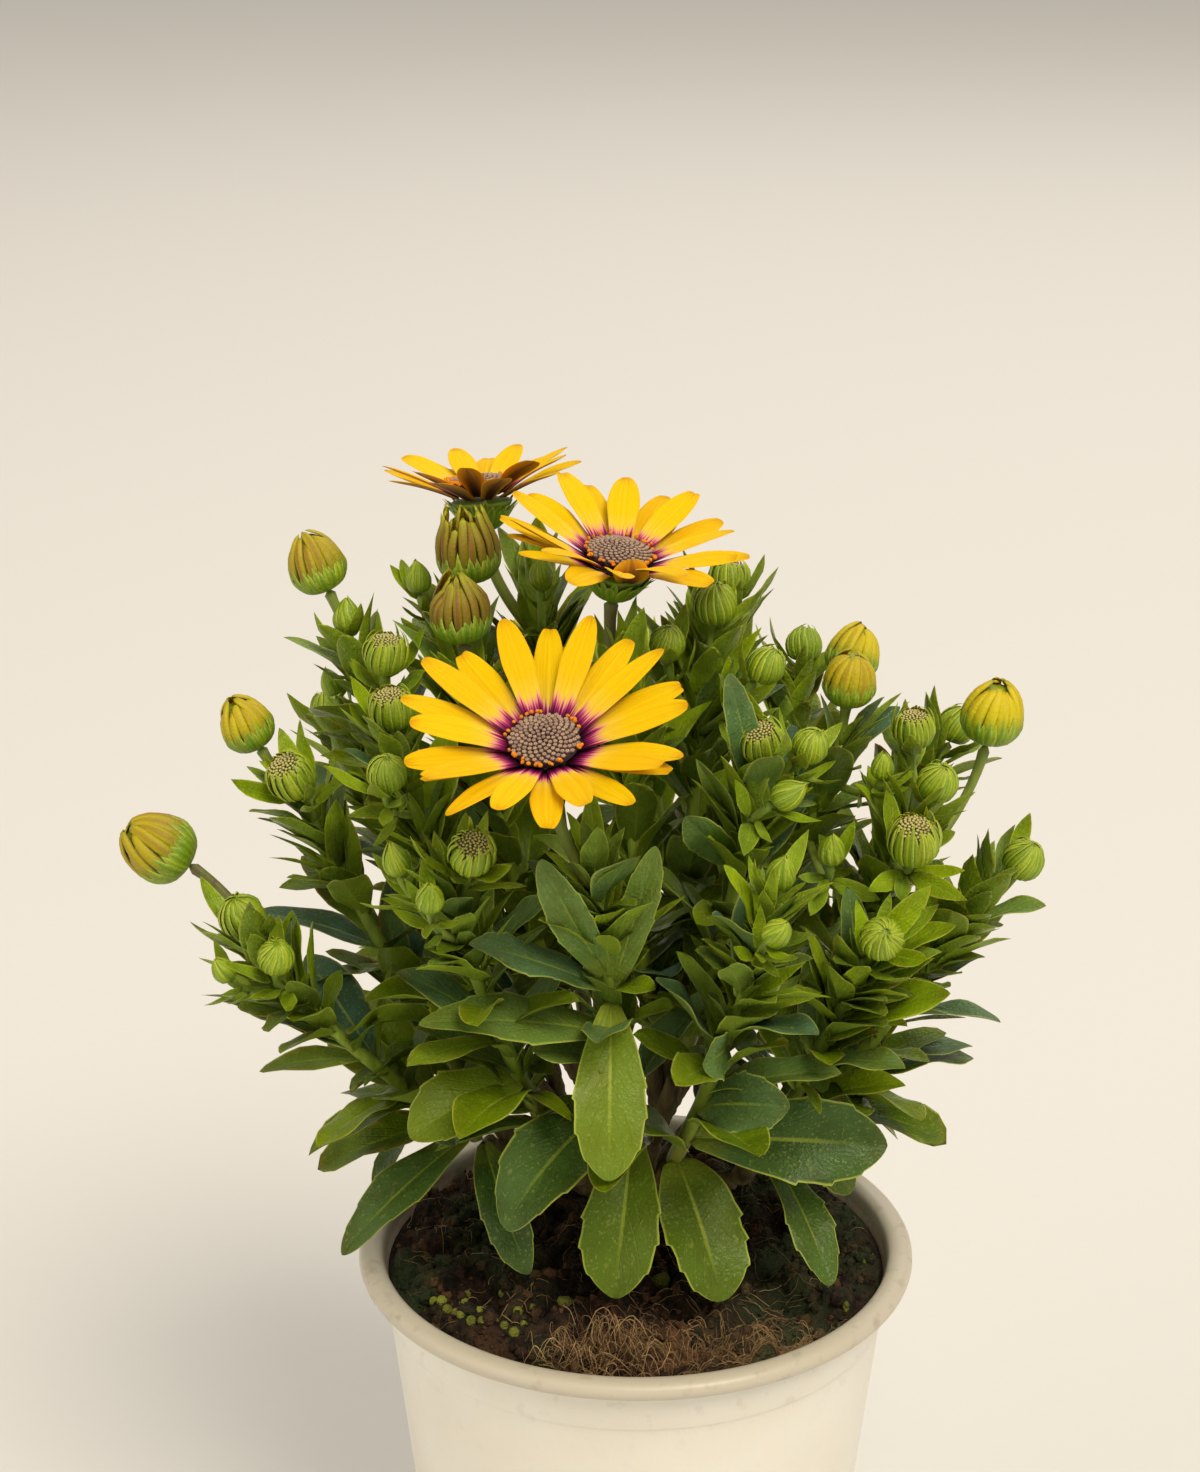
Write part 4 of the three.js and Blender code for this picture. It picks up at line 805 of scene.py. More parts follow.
def peat_material(look):
    """Damp peat mix: nearly black brown crumbs without gloss, with algae where it stays wet."""
    material, add = new_material("peat_mix_damp")
    here, place = read_surface(add), add("TexCoord", **OBJECT)
    # crumbs of 2.4 mm, and algae in patches of 16 mm away from the middle line of the pot
    crumbs = add("TexNoise", place, 420.0, 6.0)
    side = add("MapRange", add("Math", add("SeparateXYZ", place), operation="ABSOLUTE"), 0.008, 0.03)
    algae = add("MapRange", add("TexNoise", place, 62.0, 4.0), 0.44, 0.6, 0.0, 0.75)
    layers = (
        (add("MapRange", crumbs, 0.36, 0.66), look.peat_colour),
        (add("MapRange", here.tint, 0.4, 1.0, 0.0, 0.65), look.dry_colour),
        (add("Math", algae, side, **TIMES), look.algae_colour),
        (here.spare, look.prill_colour),
    )
    finish_material(add, "#140D08", layers, 0.9, 0.0035, {"IOR": DRY_IOR}, grain=900.0, detail=6.0)
    return material


def fibre_material(look):
    """Coir and dead roots: dry fibres between red-brown and straw."""
    material, add = new_material("coir_fibre")
    layers = ((read_surface(add).tint, look.fibre_colour),)
    finish_material(add, "#4A2A18", layers, 0.7, 0.00005)
    return material


# ---------------------------------------------------------------- pot, soil and crown

# the pot's outline as rows of radius and height: the foot, and the rolled rim from the height of its top
FOOT_LINE = ((40.9, 0.25), (41.5, 0.0), (42.1, 0.0), (42.7, 0.35), (43.0, 1.2))
RIM_LINE = (
    (55.7, -3.72), (56.4, -3.68), (57.6, -3.72), (58.7, -3.74), (59.3, -3.5), (59.75, -2.95), (59.98, -2.2),
    (59.9, -1.4), (59.5, -0.7), (58.8, -0.22), (57.9, -0.02), (56.9, 0.0), (56.0, -0.12), (55.2, -0.5),
    (54.75, -1.05), (54.5, -1.8), (54.3, -3.0),
)
SOIL_GAP, SOIL_BRIM, SOIL_TOP_EDGE = 0.15, 101.5, 102.2
LUMPS, PRILLS = 560, 18
# how far out lumps, fibres' middles, prills and crumbs lie
LUMP_REACH, FIBRE_REACH, PRILL_REACH, CRUMB_REACH = 50, 49, 48, 51.5


def wall_radius(height):
    """The outside radius of the pot's wall, which is straight but for a small step under the collar."""
    straight = mix(POT["base_radius"], POT["top_radius"], height / POT["height"])
    return straight - POT["step"] * (height < POT["height"] - POT["collar"])


def pot_profile():
    """The wall's closed outline as rows of radius and height: up outside, over the rim and down inside."""
    top, ledge, wall = POT["height"], POT["height"] - POT["collar"], POT["wall"]
    lower = [(wall_radius(z), z) for z in (2.0, 4.0, 20.0, 45.0, 70.0, ledge - 2.0, ledge - 0.3)]
    step = [(wall_radius(ledge - 0.1) + 0.08, ledge - 0.02), (wall_radius(ledge) - 0.06, ledge + 0.42)]
    collar = [(wall_radius(z), z) for z in (ledge + 0.7, ledge + 3, top - 8, top - 5.0, top - 4.0)]
    rim = [(radius, top + drop) for radius, drop in RIM_LINE]
    down = (top - 6, ledge + 1.2, ledge + 0.2, ledge - 0.6, ledge - 3, 60.0, 20.0, 4.0, 1.2)
    return np.array([*FOOT_LINE, *lower, *step, *collar, *rim, *((wall_radius(z) - wall, z) for z in down)])


def floor_grid():
    """The pot's floor as four quarter plates, each a ring from its drain hole out to its quarter's edge.

    A point lies a share of the way from the hole's circle to where its ray from the hole's middle
    meets the nearest of the quarter's two straight edges and its arc.
    """
    reach, hole = POT["base_radius"] - 1.3, POT["drain_radius"]
    middle = POT["drain_circle"] / math.sqrt(2)
    corners = [math.atan2(-middle, reach - middle), math.atan2(reach - middle, -middle), math.radians(225)]
    angle = np.sort(np.concatenate([np.arange(48) * math.tau / 48, np.mod(corners, math.tau) + 1e-3]))
    cos, sin = np.cos(angle), np.sin(angle)
    along = middle * (cos + sin)
    arc = np.sqrt(along**2 - 2 * middle**2 + reach**2) - along
    left = np.where(cos < -1e-6, middle / np.maximum(-cos, 1e-6), 1e3)
    below = np.where(sin < -1e-6, middle / np.maximum(-sin, 1e-6), 1e3)
    edge = np.minimum(np.minimum(left, below), arc)
    levels = [(edge, 0.3), (edge, POT["floor"]), (hole + 0.3, POT["floor"]), (hole, POT["floor"] - 0.3)]
    levels += [(hole, 0.6), (hole + 0.3, 0.3)]
    rings = [[middle + r * cos, middle + r * sin, z + 0 * cos] for r, z in levels]
    x, y, z = np.moveaxis(np.array(rings), 1, 0)
    # a quarter turn takes (x, y) to (-y, x)
    return np.array([np.stack([*turned, z], -1) for turned in ((x, y), (-y, x), (-x, -y), (y, -x))])


def clods(x, y):
    """The soil's height: a low mound with crossed sine waves about 15 mm long, as in the solid."""
    reach = np.minimum(1, np.hypot(x, y) / SOIL_REACH)
    waves = np.sin(0.41 * x + 1.2) * np.cos(0.37 * y - 0.6) + 0.6 * np.sin(0.23 * x - 0.33 * y)
    return SOIL_EDGE + SOIL_MOUND * (1 - reach * reach) + SOIL_CLOD * waves


def soil_relief(x, y, lumps):
    """The soil's height with its lumps: the highest of half ellipsoids, over crossed short waves."""
    flat = np.stack([np.ravel(x), np.ravel(y)], -1)
    high = np.zeros(len(flat))
    # 2000 points at a time, to keep the table of points and lumps small
    for start in range(0, len(flat), 2000):
        part = flat[start : start + 2000]
        away = ((part[:, None] - lumps[None, :, :2]) ** 2).sum(2) / lumps[:, 2] ** 2
        high[start : start + 2000] = (lumps[:, 3] * np.sqrt(np.maximum(0, 1 - away))).max(1)
    ripples = 0.2 * np.sin(2.9 * x + 1.1 * y) * np.sin(2.3 * y - 0.7 * x)
    ripples = ripples + 0.12 * np.sin(5.3 * x) * np.sin(4.7 * y + 2)
    # the mix is heaped up where it has been pushed against the front of the rim
    heap = 2.2 * np.exp(-(((x - 6) / 24) ** 2) - ((y + 44) / 7) ** 2)
    return clods(x, y) - 1.2 + heap + high.reshape(np.shape(x)) + ripples


def spread_out(rng, count, reach):
    """Places drawn evenly over a disc about Z, as x and y."""
    radius, turn = reach * np.sqrt(rng.random(count)), rng.random(count) * math.tau
    return radius * np.cos(turn), radius * np.sin(turn)


def soil_lumps():
    """Lumps of peat as rows of x, y, radius and height, many small ones and few large ones."""
    rng = np.random.default_rng(11)
    x, y = spread_out(rng, LUMPS, LUMP_REACH)
    radius = 1.0 + 4.4 * rng.random(LUMPS) ** 1.9
    high = np.minimum(radius * rng.uniform(0.5, 1.1, LUMPS), 4.0)
    return np.stack([x, y, radius, high], -1)


def hex_colour(name, description, default):
    """A colour that a user may change, as sRGB hex."""
    return bpy.props.StringProperty(name=name, description=description + ", sRGB hex", default=default)


def measure(name, description, default, least=0.0):
    """A length that a user may change, in metres."""
    said = {"name": name, "description": description}
    return bpy.props.FloatProperty(**said, default=default, min=least, unit="LENGTH")


def tally(name, description, default, least=0):
    """A number of parts that a user may change."""
    return bpy.props.IntProperty(name=name, description=description, default=default, min=least)


def portion(name, description, default):
    """A share that a user may change."""
    return bpy.props.FloatProperty(name=name, description=description, default=default, subtype="FACTOR")


def wattage(name, description, default):
    """The power of a light that a user may change."""
    return bpy.props.FloatProperty(name=name, description=description, default=default, unit="POWER")


class PotSettings(bpy.types.PropertyGroup):
    """What a user may change on the pot."""

    sides: tally("Sides", "Facets round the pot", 144, 24)
    wall_colour: hex_colour("Wall", "Wall", "#EAE8DE")
    worn_colour: hex_colour("Worn wall", "Handling marks", "#E2DACA")
    rim_colour: hex_colour("Rim", "Rolled rim", "#BFB8A5")


class SoilSettings(bpy.types.PropertyGroup):
    """What a user may change on the soil."""

    crumbs: tally("Crumbs", "Loose crumbs on the soil", 1500, 20)
    fibres: tally("Fibres", "Coir fibres on the soil", 950, 1)
    fibre_radius: measure("Fibre radius", "Radius of a coir fibre", 0.00006, 0.00005)
    peat_colour: hex_colour("Peat", "Damp peat", "#463222")
    dry_colour: hex_colour("Dry peat", "Dry crumbs", "#85603F")
    algae_colour: hex_colour("Algae", "Algae", "#3A4C2C")
    prill_colour: hex_colour("Prills", "Feed prills", "#98A23C")
    fibre_colour: hex_colour("Fibre", "Palest fibres", "#C4A46E")


class FoliageSettings(bpy.types.PropertyGroup):
    """What a user may change on the crown, stems, leaves and green buds."""

    blade_thickness: measure("Blade thickness", "Thickness of a leaf blade", 0.0006, 0.0001)
    tooth: portion("Teeth", "Depth of a tooth as a share of the half width", 0.09)
    wave: portion("Waviness", "Waves of the margin as a share of the half width", 0.14)
    young_leaves: tally("Young leaves", "Small leaves round the tip of each shoot", 26)
    between_leaves: tally("Leaves between", "Lesser leaves between those of the spiral", 19)
    collar_leaves: tally("Collar leaves", "Small leaves on the stalk of each green bud", 7)
    leaf_colour: hex_colour("Leaf", "Old leaves", "#3B5607")
    young_colour: hex_colour("Young leaf", "Young leaves", "#96B40E")
    # painted reflection: a bluish sheen laid on some leaves in place of the sky's reflection in them
    warm_colour: hex_colour("Warm leaf", "Yellower leaves", "#9CB00C")
    painted_sheen_colour: hex_colour("Painted leaf sheen", "Painted bluish sheen on leaves", "#3F6A5A")
    underside_colour: hex_colour("Underside", "Undersides of leaves", "#7A9030")
    rib_colour: hex_colour("Rib", "Ribs of leaves", "#A2B03C")
    edge_colour: hex_colour("Edge", "Felted leaf edges", "#B8C450")
    stem_colour: hex_colour("Stem", "Stems", "#90A422")
    stalk_colour: hex_colour("Stalk", "Stalks of ripe heads", "#5C3F38")
    bud_colour: hex_colour("Bud", "Green buds", "#B6C41C")
    bark_colour: hex_colour("Bark", "Bark of the crown", "#76663E")


class BloomSettings(bpy.types.PropertyGroup):
    """What a user may change on the blooms."""

    ray_thickness: measure("Ray thickness", "Thickness of a ray petal", 0.0004, 0.0001)
    pleat: measure("Pleats", "Depth of a ray's pleats", 0.00014)
    disc_florets: tally("Disc florets", "Florets in the disc of a bloom", 148, 10)
    ray_colour: hex_colour("Ray", "Ray petals", "#FBCE00")
    ray_ripe_colour: hex_colour("Ripe ray", "Riper rays", "#F9BA00")
    ray_edge_colour: hex_colour("Ray tip", "Tips of the rays", "#F6AC00")
    eye_colour: hex_colour("Eye", "The ring at the rays' feet", "#80164F")
    disc_colour: hex_colour("Disc", "Disc florets", "#7A5D54")
    pollen_colour: hex_colour("Pollen", "Pollen", "#F39A08")


class StageSettings(bpy.types.PropertyGroup):
    """What a user may change on the stage."""

    floor_colour: hex_colour("Floor", "Floor", "#E2E2E0")
    key_power: wattage("Key light", "Power of the key light", 128.0)
    fill_power: wattage("Fill light", "Power of the fill and back lights", 12.0)
    sky: bpy.props.FloatProperty(name="Sky", description="Strength of the even light", default=0.55)


class BuildPot(bpy.types.Operator):
    """Builds the pot: a turned wall with a rolled rim, and a floor with four drain holes"""

    bl_idname = "osteospermum.pot"
    bl_label = "Pot"

    def execute(self, context):
        look = context.scene.osteospermum_pot
        shape = Shape()
        profile = pot_profile()
        uv = round_uv(profile[:, 1] / POT["height"], look.sides)
        shape.add_rings(lathe_grid(profile, look.sides), uv, look_of())
        shape.add_rings(floor_grid(), FLAT_UV, look_of())
        shape.to_object("pot_moulded", [pot_material(look)], "pot")
        return {"FINISHED"}


class BuildSoil(bpy.types.Operator):
    """Builds the soil: its lumpy surface, loose crumbs, prills and coir fibres"""

    bl_idname = "osteospermum.soil"
    bl_label = "Potting soil"

    def execute(self, context):
        look = context.scene.osteospermum_soil
        shape = Shape()
        lumps = soil_lumps()
        add_soil_body(shape, lumps)
        add_crumbs(shape, lumps, look.crumbs)
        add_fibres(shape, lumps, look.fibres, look.fibre_radius / MM)
        finishes = [peat_material(look), fibre_material(look)]
        shape.to_object("soil_bed", finishes, "soil")
        return {"FINISHED"}


def add_soil_body(shape, lumps):
    """The soil as one body: out along its underside, up its side and in over its surface."""
    around, rings = 250, 102

    def inside(z):
        return wall_radius(z) - POT["wall"] - SOIL_GAP

    bottom = POT["floor"] + 0.3
    side = [[0, bottom], [20, bottom], [inside(bottom) - 0.5, bottom]]
    side += [[inside(z), z] for z in (bottom + 1, 40, 80, 92.5, 94, SOIL_BRIM)]
    start = inside(SOIL_BRIM)
    surface = [[start * share, SOIL_EDGE] for share in np.linspace(0.985, 0, rings)]
    grid = lathe_grid(np.array(side + surface), around)[0]
    top = grid[len(side) :]
    x, y = top[..., 0], top[..., 1]
    brim = smoothstep(start, start - 2.5, np.hypot(x, y))
    top[..., 2] = mix(SOIL_TOP_EDGE, soil_relief(x, y, lumps), brim)
    tint = 0.3 + 0.3 * np.sin(0.31 * x + 0.2 * y) * np.sin(0.27 * y - 0.4)
    # the peat is dry and brown where the fibres are matted
    tint = tint + 0.8 * np.exp(-(((x - 10) / 22) ** 2) - ((y + 43) / 8) ** 2)
    look = look_of(np.concatenate([np.full((len(side), around), 0.3), tint]))
    shape.add_balls(grid[None], FLAT_UV, look)


def add_crumbs(shape, lumps, count):
    """Crumbs: balls of few faces whose rows of points are pushed in and out, half sunk in the soil."""
    rng = np.random.default_rng(5)
    x, y = spread_out(rng, count, CRUMB_REACH)
    size = 0.35 + 1.4 * rng.random(count) ** 3
    # the first crumbs are round feed prills, washed together at the left of the front
    prills = rng.normal((-31, -31), (7, 6), (PRILLS, 2))
    prills /= np.maximum(1, np.linalg.norm(prills, axis=1, keepdims=True) / PRILL_REACH)
    x[:PRILLS], y[:PRILLS] = prills.T
    size[:PRILLS] = rng.uniform(0.8, 1.3, PRILLS)
    rings, around = 6, 7
    polar = np.linspace(0, np.pi, rings)[:, None]
    angle = math.tau * np.arange(around) / around
    ball = around_z(np.sin(polar), angle, -np.cos(polar))
    bumps = 0.7 + 0.6 * rng.random((count, rings, around, 1))
    squash = 0.6 + 0.8 * rng.random((count, 1, 1, 3))
    bumps[:PRILLS], squash[:PRILLS] = 1.0, 1.0
    grid = ball * bumps * squash * size[:, None, None, None]
    z = soil_relief(x, y, lumps) + 0.3 * size
    grid += np.stack([x, y, z], -1)[:, None, None]
    pale = np.where(rng.random(count) < 0.01, 0.5, 0.0)
    pale[:PRILLS] = rng.uniform(0.5, 1.0, PRILLS)
    look = look_of(rng.random(count), 0.0, 0.0, pale)[:, None, None]
    shape.add_balls(grid, FLAT_UV, look)


def add_fibres(shape, lumps, count, radius):
    """Fibres: thin tubes whose heading turns steadily, lying on the soil with a low hump.

    Of every ten, four are matted in a tuft at the right of the front, three arch up in a tuft at its
    middle, and three lie about.
    """
    rng = np.random.default_rng(21)
    points, around = 12, 3
    kind = np.arange(count) % 10
    mat, arch = kind < 4, (kind >= 4) & (kind < 7)

    def by_kind(matted, arched, loose):
        return np.where(mat, matted, np.where(arch, arched, loose))

    x, y = spread_out(rng, count, FIBRE_REACH)
    x = by_kind(rng.normal(21, 11, count), rng.normal(-7, 5.5, count), x)
    y = by_kind(rng.normal(-43, 4, count), rng.normal(-46.5, 2.2, count), y)
    share = np.linspace(0, 1, points)
    length = by_kind(7, 8, 11) * rng.uniform(0.5, 1.5, count)
    curl = rng.normal(0, 2.2, count)[:, None] * share + rng.normal(0, 0.5, (count, 1)) * np.sin(9 * share)
    heading = rng.random(count)[:, None] * math.tau + curl
    step = (length / (points - 1))[:, None]
    x = x[:, None] + np.cumsum(np.cos(heading) * step, 1)
    y = y[:, None] + np.cumsum(np.sin(heading) * step, 1)
    out = np.maximum(1, np.hypot(x, y) / CRUMB_REACH)
    x, y = x / out, y / out
    hump = rng.random(count) * by_kind(2.4, 6.5, 0.8)
    z = soil_relief(x, y, lumps) + 0.2 + hump[:, None] * np.sin(np.pi * share)
    line = np.stack([x, y, z], -1)
    heading = unit(np.gradient(line, axis=1) + 1e-6)
    across = unit(np.cross(heading, (0, 0, 1)))
    above = np.cross(across, heading)
    angle = math.tau * np.arange(around) / around
    width = radius * rng.uniform(0.7, 1.5, count)[:, None, None, None]
    ring = across[:, :, None] * np.cos(angle)[:, None] - above[:, :, None] * np.sin(angle)[:, None]
    tint = rng.random(count) ** np.where(arch, 1.6, 1.0) * np.where(mat, 0.7, 1.0)
    shape.add_balls(line[:, :, None] - ring * width, FLAT_UV, look_of(tint)[:, None, None], finish=1)


class BuildCrown(bpy.types.Operator):
    """Builds the woody crown: the trunk, its branches and the stubs that the shoots stand on"""

    bl_idname = "osteospermum.crown"
    bl_label = "Crown"

    def execute(self, context):
        look = context.scene.osteospermum_foliage
        shape = Shape()
        rng = np.random.default_rng(3)
        foot, top = np.array(TRUNK, float)
        t = np.linspace(0, 1, 24)
        around = 16
        curves = [((foot, (foot + top) / 2, top + (0, 0, 3)), TRUNK_RADIUS * mix(1.0, 0.8, t))]
        curves += [(branch_curve(fork), BRANCH_RADIUS * mix(1.25, 0.95, t)) for fork in FORKS]
        for name in SHOOTS:
            start, between, end = bezier(shoot_curve(name), [0.0, STUB_SHARE / 2, STUB_SHARE])[0]
            bow = 2 * between - (start + end) / 2
            curves.append(((start, bow, end), STUB_RADIUS * mix(1.1, 1.0, t)))
        for curve, radius in curves:
            knots = 1 + 0.05 * rng.normal(size=len(t))
            grid = tube_grid(curve, t, radius * knots, around, 0.05, 3)
            shape.add_balls(grid, round_uv(t, around), look_of(rng.random()))
        shape.to_object("crown_bark", [bark_material(look)], "crown")
        return {"FINISHED"}


# ---------------------------------------------------------------- leafy shoots

# the finishes of a shoot, in the order of its materials
LEAF, STEM, BRACT, BUTTON = range(4)
BRACT_SECTION = Section(0.5, 1)
CHANNEL_SECTION = Section(0.3, 0.65, 0.9, 1)
# a leaf's upper side faces along its stem and up
SKYWARD = (0, 0, 0.7)
# large leaves whose tips are lower than this hang from the foot of the plant
HANGING_BELOW = 160
# shoots whose young leaves are long, whose lower half is bare, whose leaves get a painted bluish sheen, and
# ripe stalks
TALL_SHOOTS = ("upper", "centre", "back_top")
BARE_SHOOTS = ("front_right", "right_front", "front_centre")
SHEENED_SHOOTS = ("front_centre", "front_left", "centre_right", "right_high")
PURPLE_STALKS = ("upper_left", "upper_back", "left_low")

# where the teeth of a large leaf stand on its two sides, and how far each ramp is long
TEETH = (np.array([0.5, 0.66, 0.82]), np.array([0.57, 0.74, 0.88]))
TOOTH_RAMP = 0.085


def leaf_rings(count, teeth):
    """Shares of a leaf's length, closer to its tip, with a ring on and behind the point of each tooth."""
    u = 1 - (1 - np.linspace(0, 1, count)) ** 1.45
    if teeth:
        points = np.concatenate(TEETH)
        u = u[np.abs(u[:, None] - points).min(1) > 0.012]
        u = np.sort(np.concatenate([u, points, points + 0.012]))
    return u


# a leaf's rings, the way across it, how far up it is widest and how blunt its ends are
LARGE_LEAF = (leaf_rings(24, True), Section(0.07, 0.2, 0.42, 0.68, 0.88, 0.96, 1), (0.56, 0.66), (0.55, 0.78))
MIDDLE_LEAF = (leaf_rings(17, False), Section(0.1, 0.35, 0.7, 0.95, 1), (0.52, 0.64), (0.6, 0.9))
LESSER_LEAF = (leaf_rings(9, False), Section(0.4, 1), (0.52, 0.62), (0.55, 0.85))
SMALL_LEAF = (leaf_rings(9, False), Section(0.4, 1), (0.42, 0.56), (0.8, 1.15))


def half_width(u, widest, blunt, stalk):
    """A leaf's outline: u^p (1-u)^q scaled to 1 where it is widest, plus a stalk that fades out."""
    q = blunt
    p = q * widest / (1 - widest)
    body = (u / widest) ** p * ((1 - u) / (1 - widest)) ** q
    return body + stalk * (1 - u) ** 2.5 * (u < 1)


def tooth_share(u, points):
    """0 but for a ramp that climbs to 1 at each tooth's point and drops behind it."""
    climb = 1 - (points - u[:, None]) / TOOTH_RAMP
    return np.where((climb > 0) & (climb <= 1.0001), climb, 0).max(1)


def add_leaves(shape, leaves, kind, look, rng):
    """Leaves from rows of root, tip, up, bend, width, age, the share of a painted bluish sheen and tooth
    size.

    Off the arc, the upper side folds up by LEAF_FOLD of the way out, the margin waves by a sine along
    the leaf, and a groove runs along the rib that stands out below.
    """
    if not leaves:
        return
    root, tip, up = (np.array([leaf[i] for leaf in leaves], float) for i in range(3))
    bend, width, age, blue, teeth = (np.array([leaf[i] for leaf in leaves], float) for i in range(3, 8))
    width = width[:, None, None]
    u, section, widest, blunt = kind
    along = u[:, None]
    each = (len(leaves), 1, 1)
    outline = half_width(u, rng.uniform(*widest, each[:2]), rng.uniform(*blunt, each[:2]), 0.2)[..., None]
    if kind is LARGE_LEAF:
        sides = np.stack([tooth_share(u, points) for points in TEETH])
        toothed = np.where(section.v < 0, sides[0][:, None], sides[1][:, None])
        outline = outline * (1 + look.tooth * teeth[:, None, None] * toothed * np.abs(section.v))
    reach = outline * section.v * width / 2
    phase = rng.uniform(0, math.tau, each)
    waves = rng.uniform(1.2, 2.2, each) * math.tau * along + phase + 2.1 * (section.v > 0)
    out = np.abs(reach)
    fold = rng.uniform(0.6, 1.8, each) * LEAF_FOLD
    rise = fold * out + look.wave * out * np.abs(section.v) * np.sin(waves)
    broad = np.minimum(1, width / 12)
    thick = look.blade_thickness / MM * (0.5 + 0.5 * broad)
    fade = np.minimum(1, 4 * (1 - along))
    rise = rise + section.skin * thick / 2 * fade
    rib = np.exp(-((section.v / 0.16) ** 2)) * fade * broad
    rise = rise - rib * np.where(section.under, 0.5, 0.28) * (1 - 0.7 * along)
    # the tip curls over or up a little more than the arc does
    rise = rise + rng.uniform(-0.16, 0.06, each) * width * along**4
    twist = rng.normal(0, 0.25, len(leaves))
    grid = blade_grid(blade_frame(root, tip, up, bend), along[..., None], reach, rise, twist)
    looks = look_of(rng.random(each), age[:, None, None], section.under, blue[:, None, None])
    shape.add_balls(grid, section.uv(along), looks, LEAF, section.margin)


def cad_points(name):
    """The corners of a CAD node, in millimetres."""
    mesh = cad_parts[name].data
    found = np.empty(3 * len(mesh.vertices), np.float32)
    mesh.vertices.foreach_get("co", found)
    return found.reshape(-1, 3) / MM


def spiral_leaves(name):
    """The leaves of a shoot's spiral, each turned and sized as in the solid.

    A leaf of the solid was turned about its stem, or made smaller, until it was clear of the rest. The
    turn and size that it took are those whose tip is a corner of the CAD node.
    """
    corners = cad_points("shoot_" + name)
    curve = shoot_curve(name)
    _, _, count, first_turn = SHOOTS[name]
    order = list(SHOOTS).index(name)
    found = []
    for rank in range(count):
        share = mix(0.2, 0.98, (rank + 0.5) / count)
        long = mix(*LEAF_LENGTHS, share) * (0.85 + 0.3 * LEAF_DRAWS[rank, order, 0])
        spread = mix(*LEAF_SPREADS, share) + 0.3 * (LEAF_DRAWS[rank, order, 1] - 0.5)
        point, along = bezier(curve, share)
        for size in LEAF_SIZES:
            for degrees in LEAF_TURNS:
                out = square_to(along, first_turn + rank * GOLDEN_ANGLE + math.radians(degrees))
                tip = point + size * long * (along * math.cos(spread) + out * math.sin(spread))
                if np.abs(corners - tip).max(1).min() < TIP_MATCH:
                    break
            else:
                continue
            width = size * long * LEAF_SLENDERNESS
            root, bend = mix(point, tip, -0.05), mix(*LEAF_BENDS, share)
            found.append((root, tip, along + SKYWARD, bend, width, share))
            break
    return found


def head_placing(shoot, share, at, lean, drop):
    """The stalk's curve to a bud or bloom, and its placing: the head's foot and the rows of its axes."""
    facing = unit(lean)
    foot = np.array(at, float) - facing * drop
    point, along = bezier(shoot_curve(shoot), share)
    start = point - along
    curve = (start, foot - facing * 0.45 * np.linalg.norm(foot - start), foot)
    side = unit(np.cross(unit(curve[1] - curve[0]), facing))
    return curve, (foot, np.array([side, np.cross(facing, side), facing]))


def placed(grid, placing):
    """A grid in a head's own axes, moved to where the head stands."""
    foot, axes = placing
    return grid @ axes + foot


def add_stalk(shape, curve, radius, purple, rng):
    """A stalk, thicker at both ends and faintly ribbed."""
    t = np.linspace(0, 1, 16)
    width = radius * (0.9 + 0.25 * (1 - t) ** 6 + 0.45 * t**10)
    grid = tube_grid(curve, t, width, 10, 0.05, 5)
    shape.add_balls(grid, round_uv(0.5 + 0.5 * t, 10), look_of(rng.random(), 0.5, 0.0, purple), STEM)


def add_strips(
    shape, profile, placing, count, half, turn, rng, finish, section=BRACT_SECTION,
    keel=0.2, tuck=0.0, tip=0.6, twist=0.0, free=0.0, uneven=0.06, ages=(0.4, 1.0), bronze=0.0,
):
    """A ring of strips on a head, from a profile of radius and height rows.

    A strip's half width is u^0.35 (1-u)^tip of the given one. Its back is keeled by 1 - v^2 and one
    margin is tucked under by v. It turns about the head by twist u^2, and its free part above leans
    out or in by its own draw.
    """
    u = np.linspace(0, 1, 11)
    line = spline(profile, u)[None] * np.ones((count, 1, 1))
    line[..., 1] *= 1 + rng.uniform(-uneven, uneven / 3, (count, 1)) * u**2
    line[..., 0] = np.maximum(line[..., 0] + rng.normal(0, 1, (count, 1)) * free * u**3, 0.02)
    outline = u**0.35 * (1 - u) ** tip
    outline /= outline.max()
    azimuth = turn + math.tau * (np.arange(count) + rng.uniform(-0.12, 0.12, count)) / count
    swell = keel * (1 - section.v**2) + tuck * section.v
    rise = section.skin * 0.14 * np.minimum(1, 3 * (1 - u))[:, None] + swell * outline[:, None]
    grid = strip_grid(line, azimuth[:, None] + twist * u**2, half * outline, section, rise[None])
    looks = look_of(rng.random((count, 1, 1)), rng.uniform(*ages, (count, 1, 1)), section.under, bronze)
    shape.add_balls(placed(grid, placing), section.uv(u[:, None]), looks, finish, section.margin)


def add_body(shape, profile, placing, finish, around=14, age=0.3, rows=12):
    """A turned body on a head, from a profile of radius and height rows."""
    t = np.linspace(0, 1, rows)
    grid = lathe_grid(spline(profile, t), around)
    shape.add_balls(placed(grid, placing), round_uv(0.3 * t, around), look_of(0.5, age), finish)


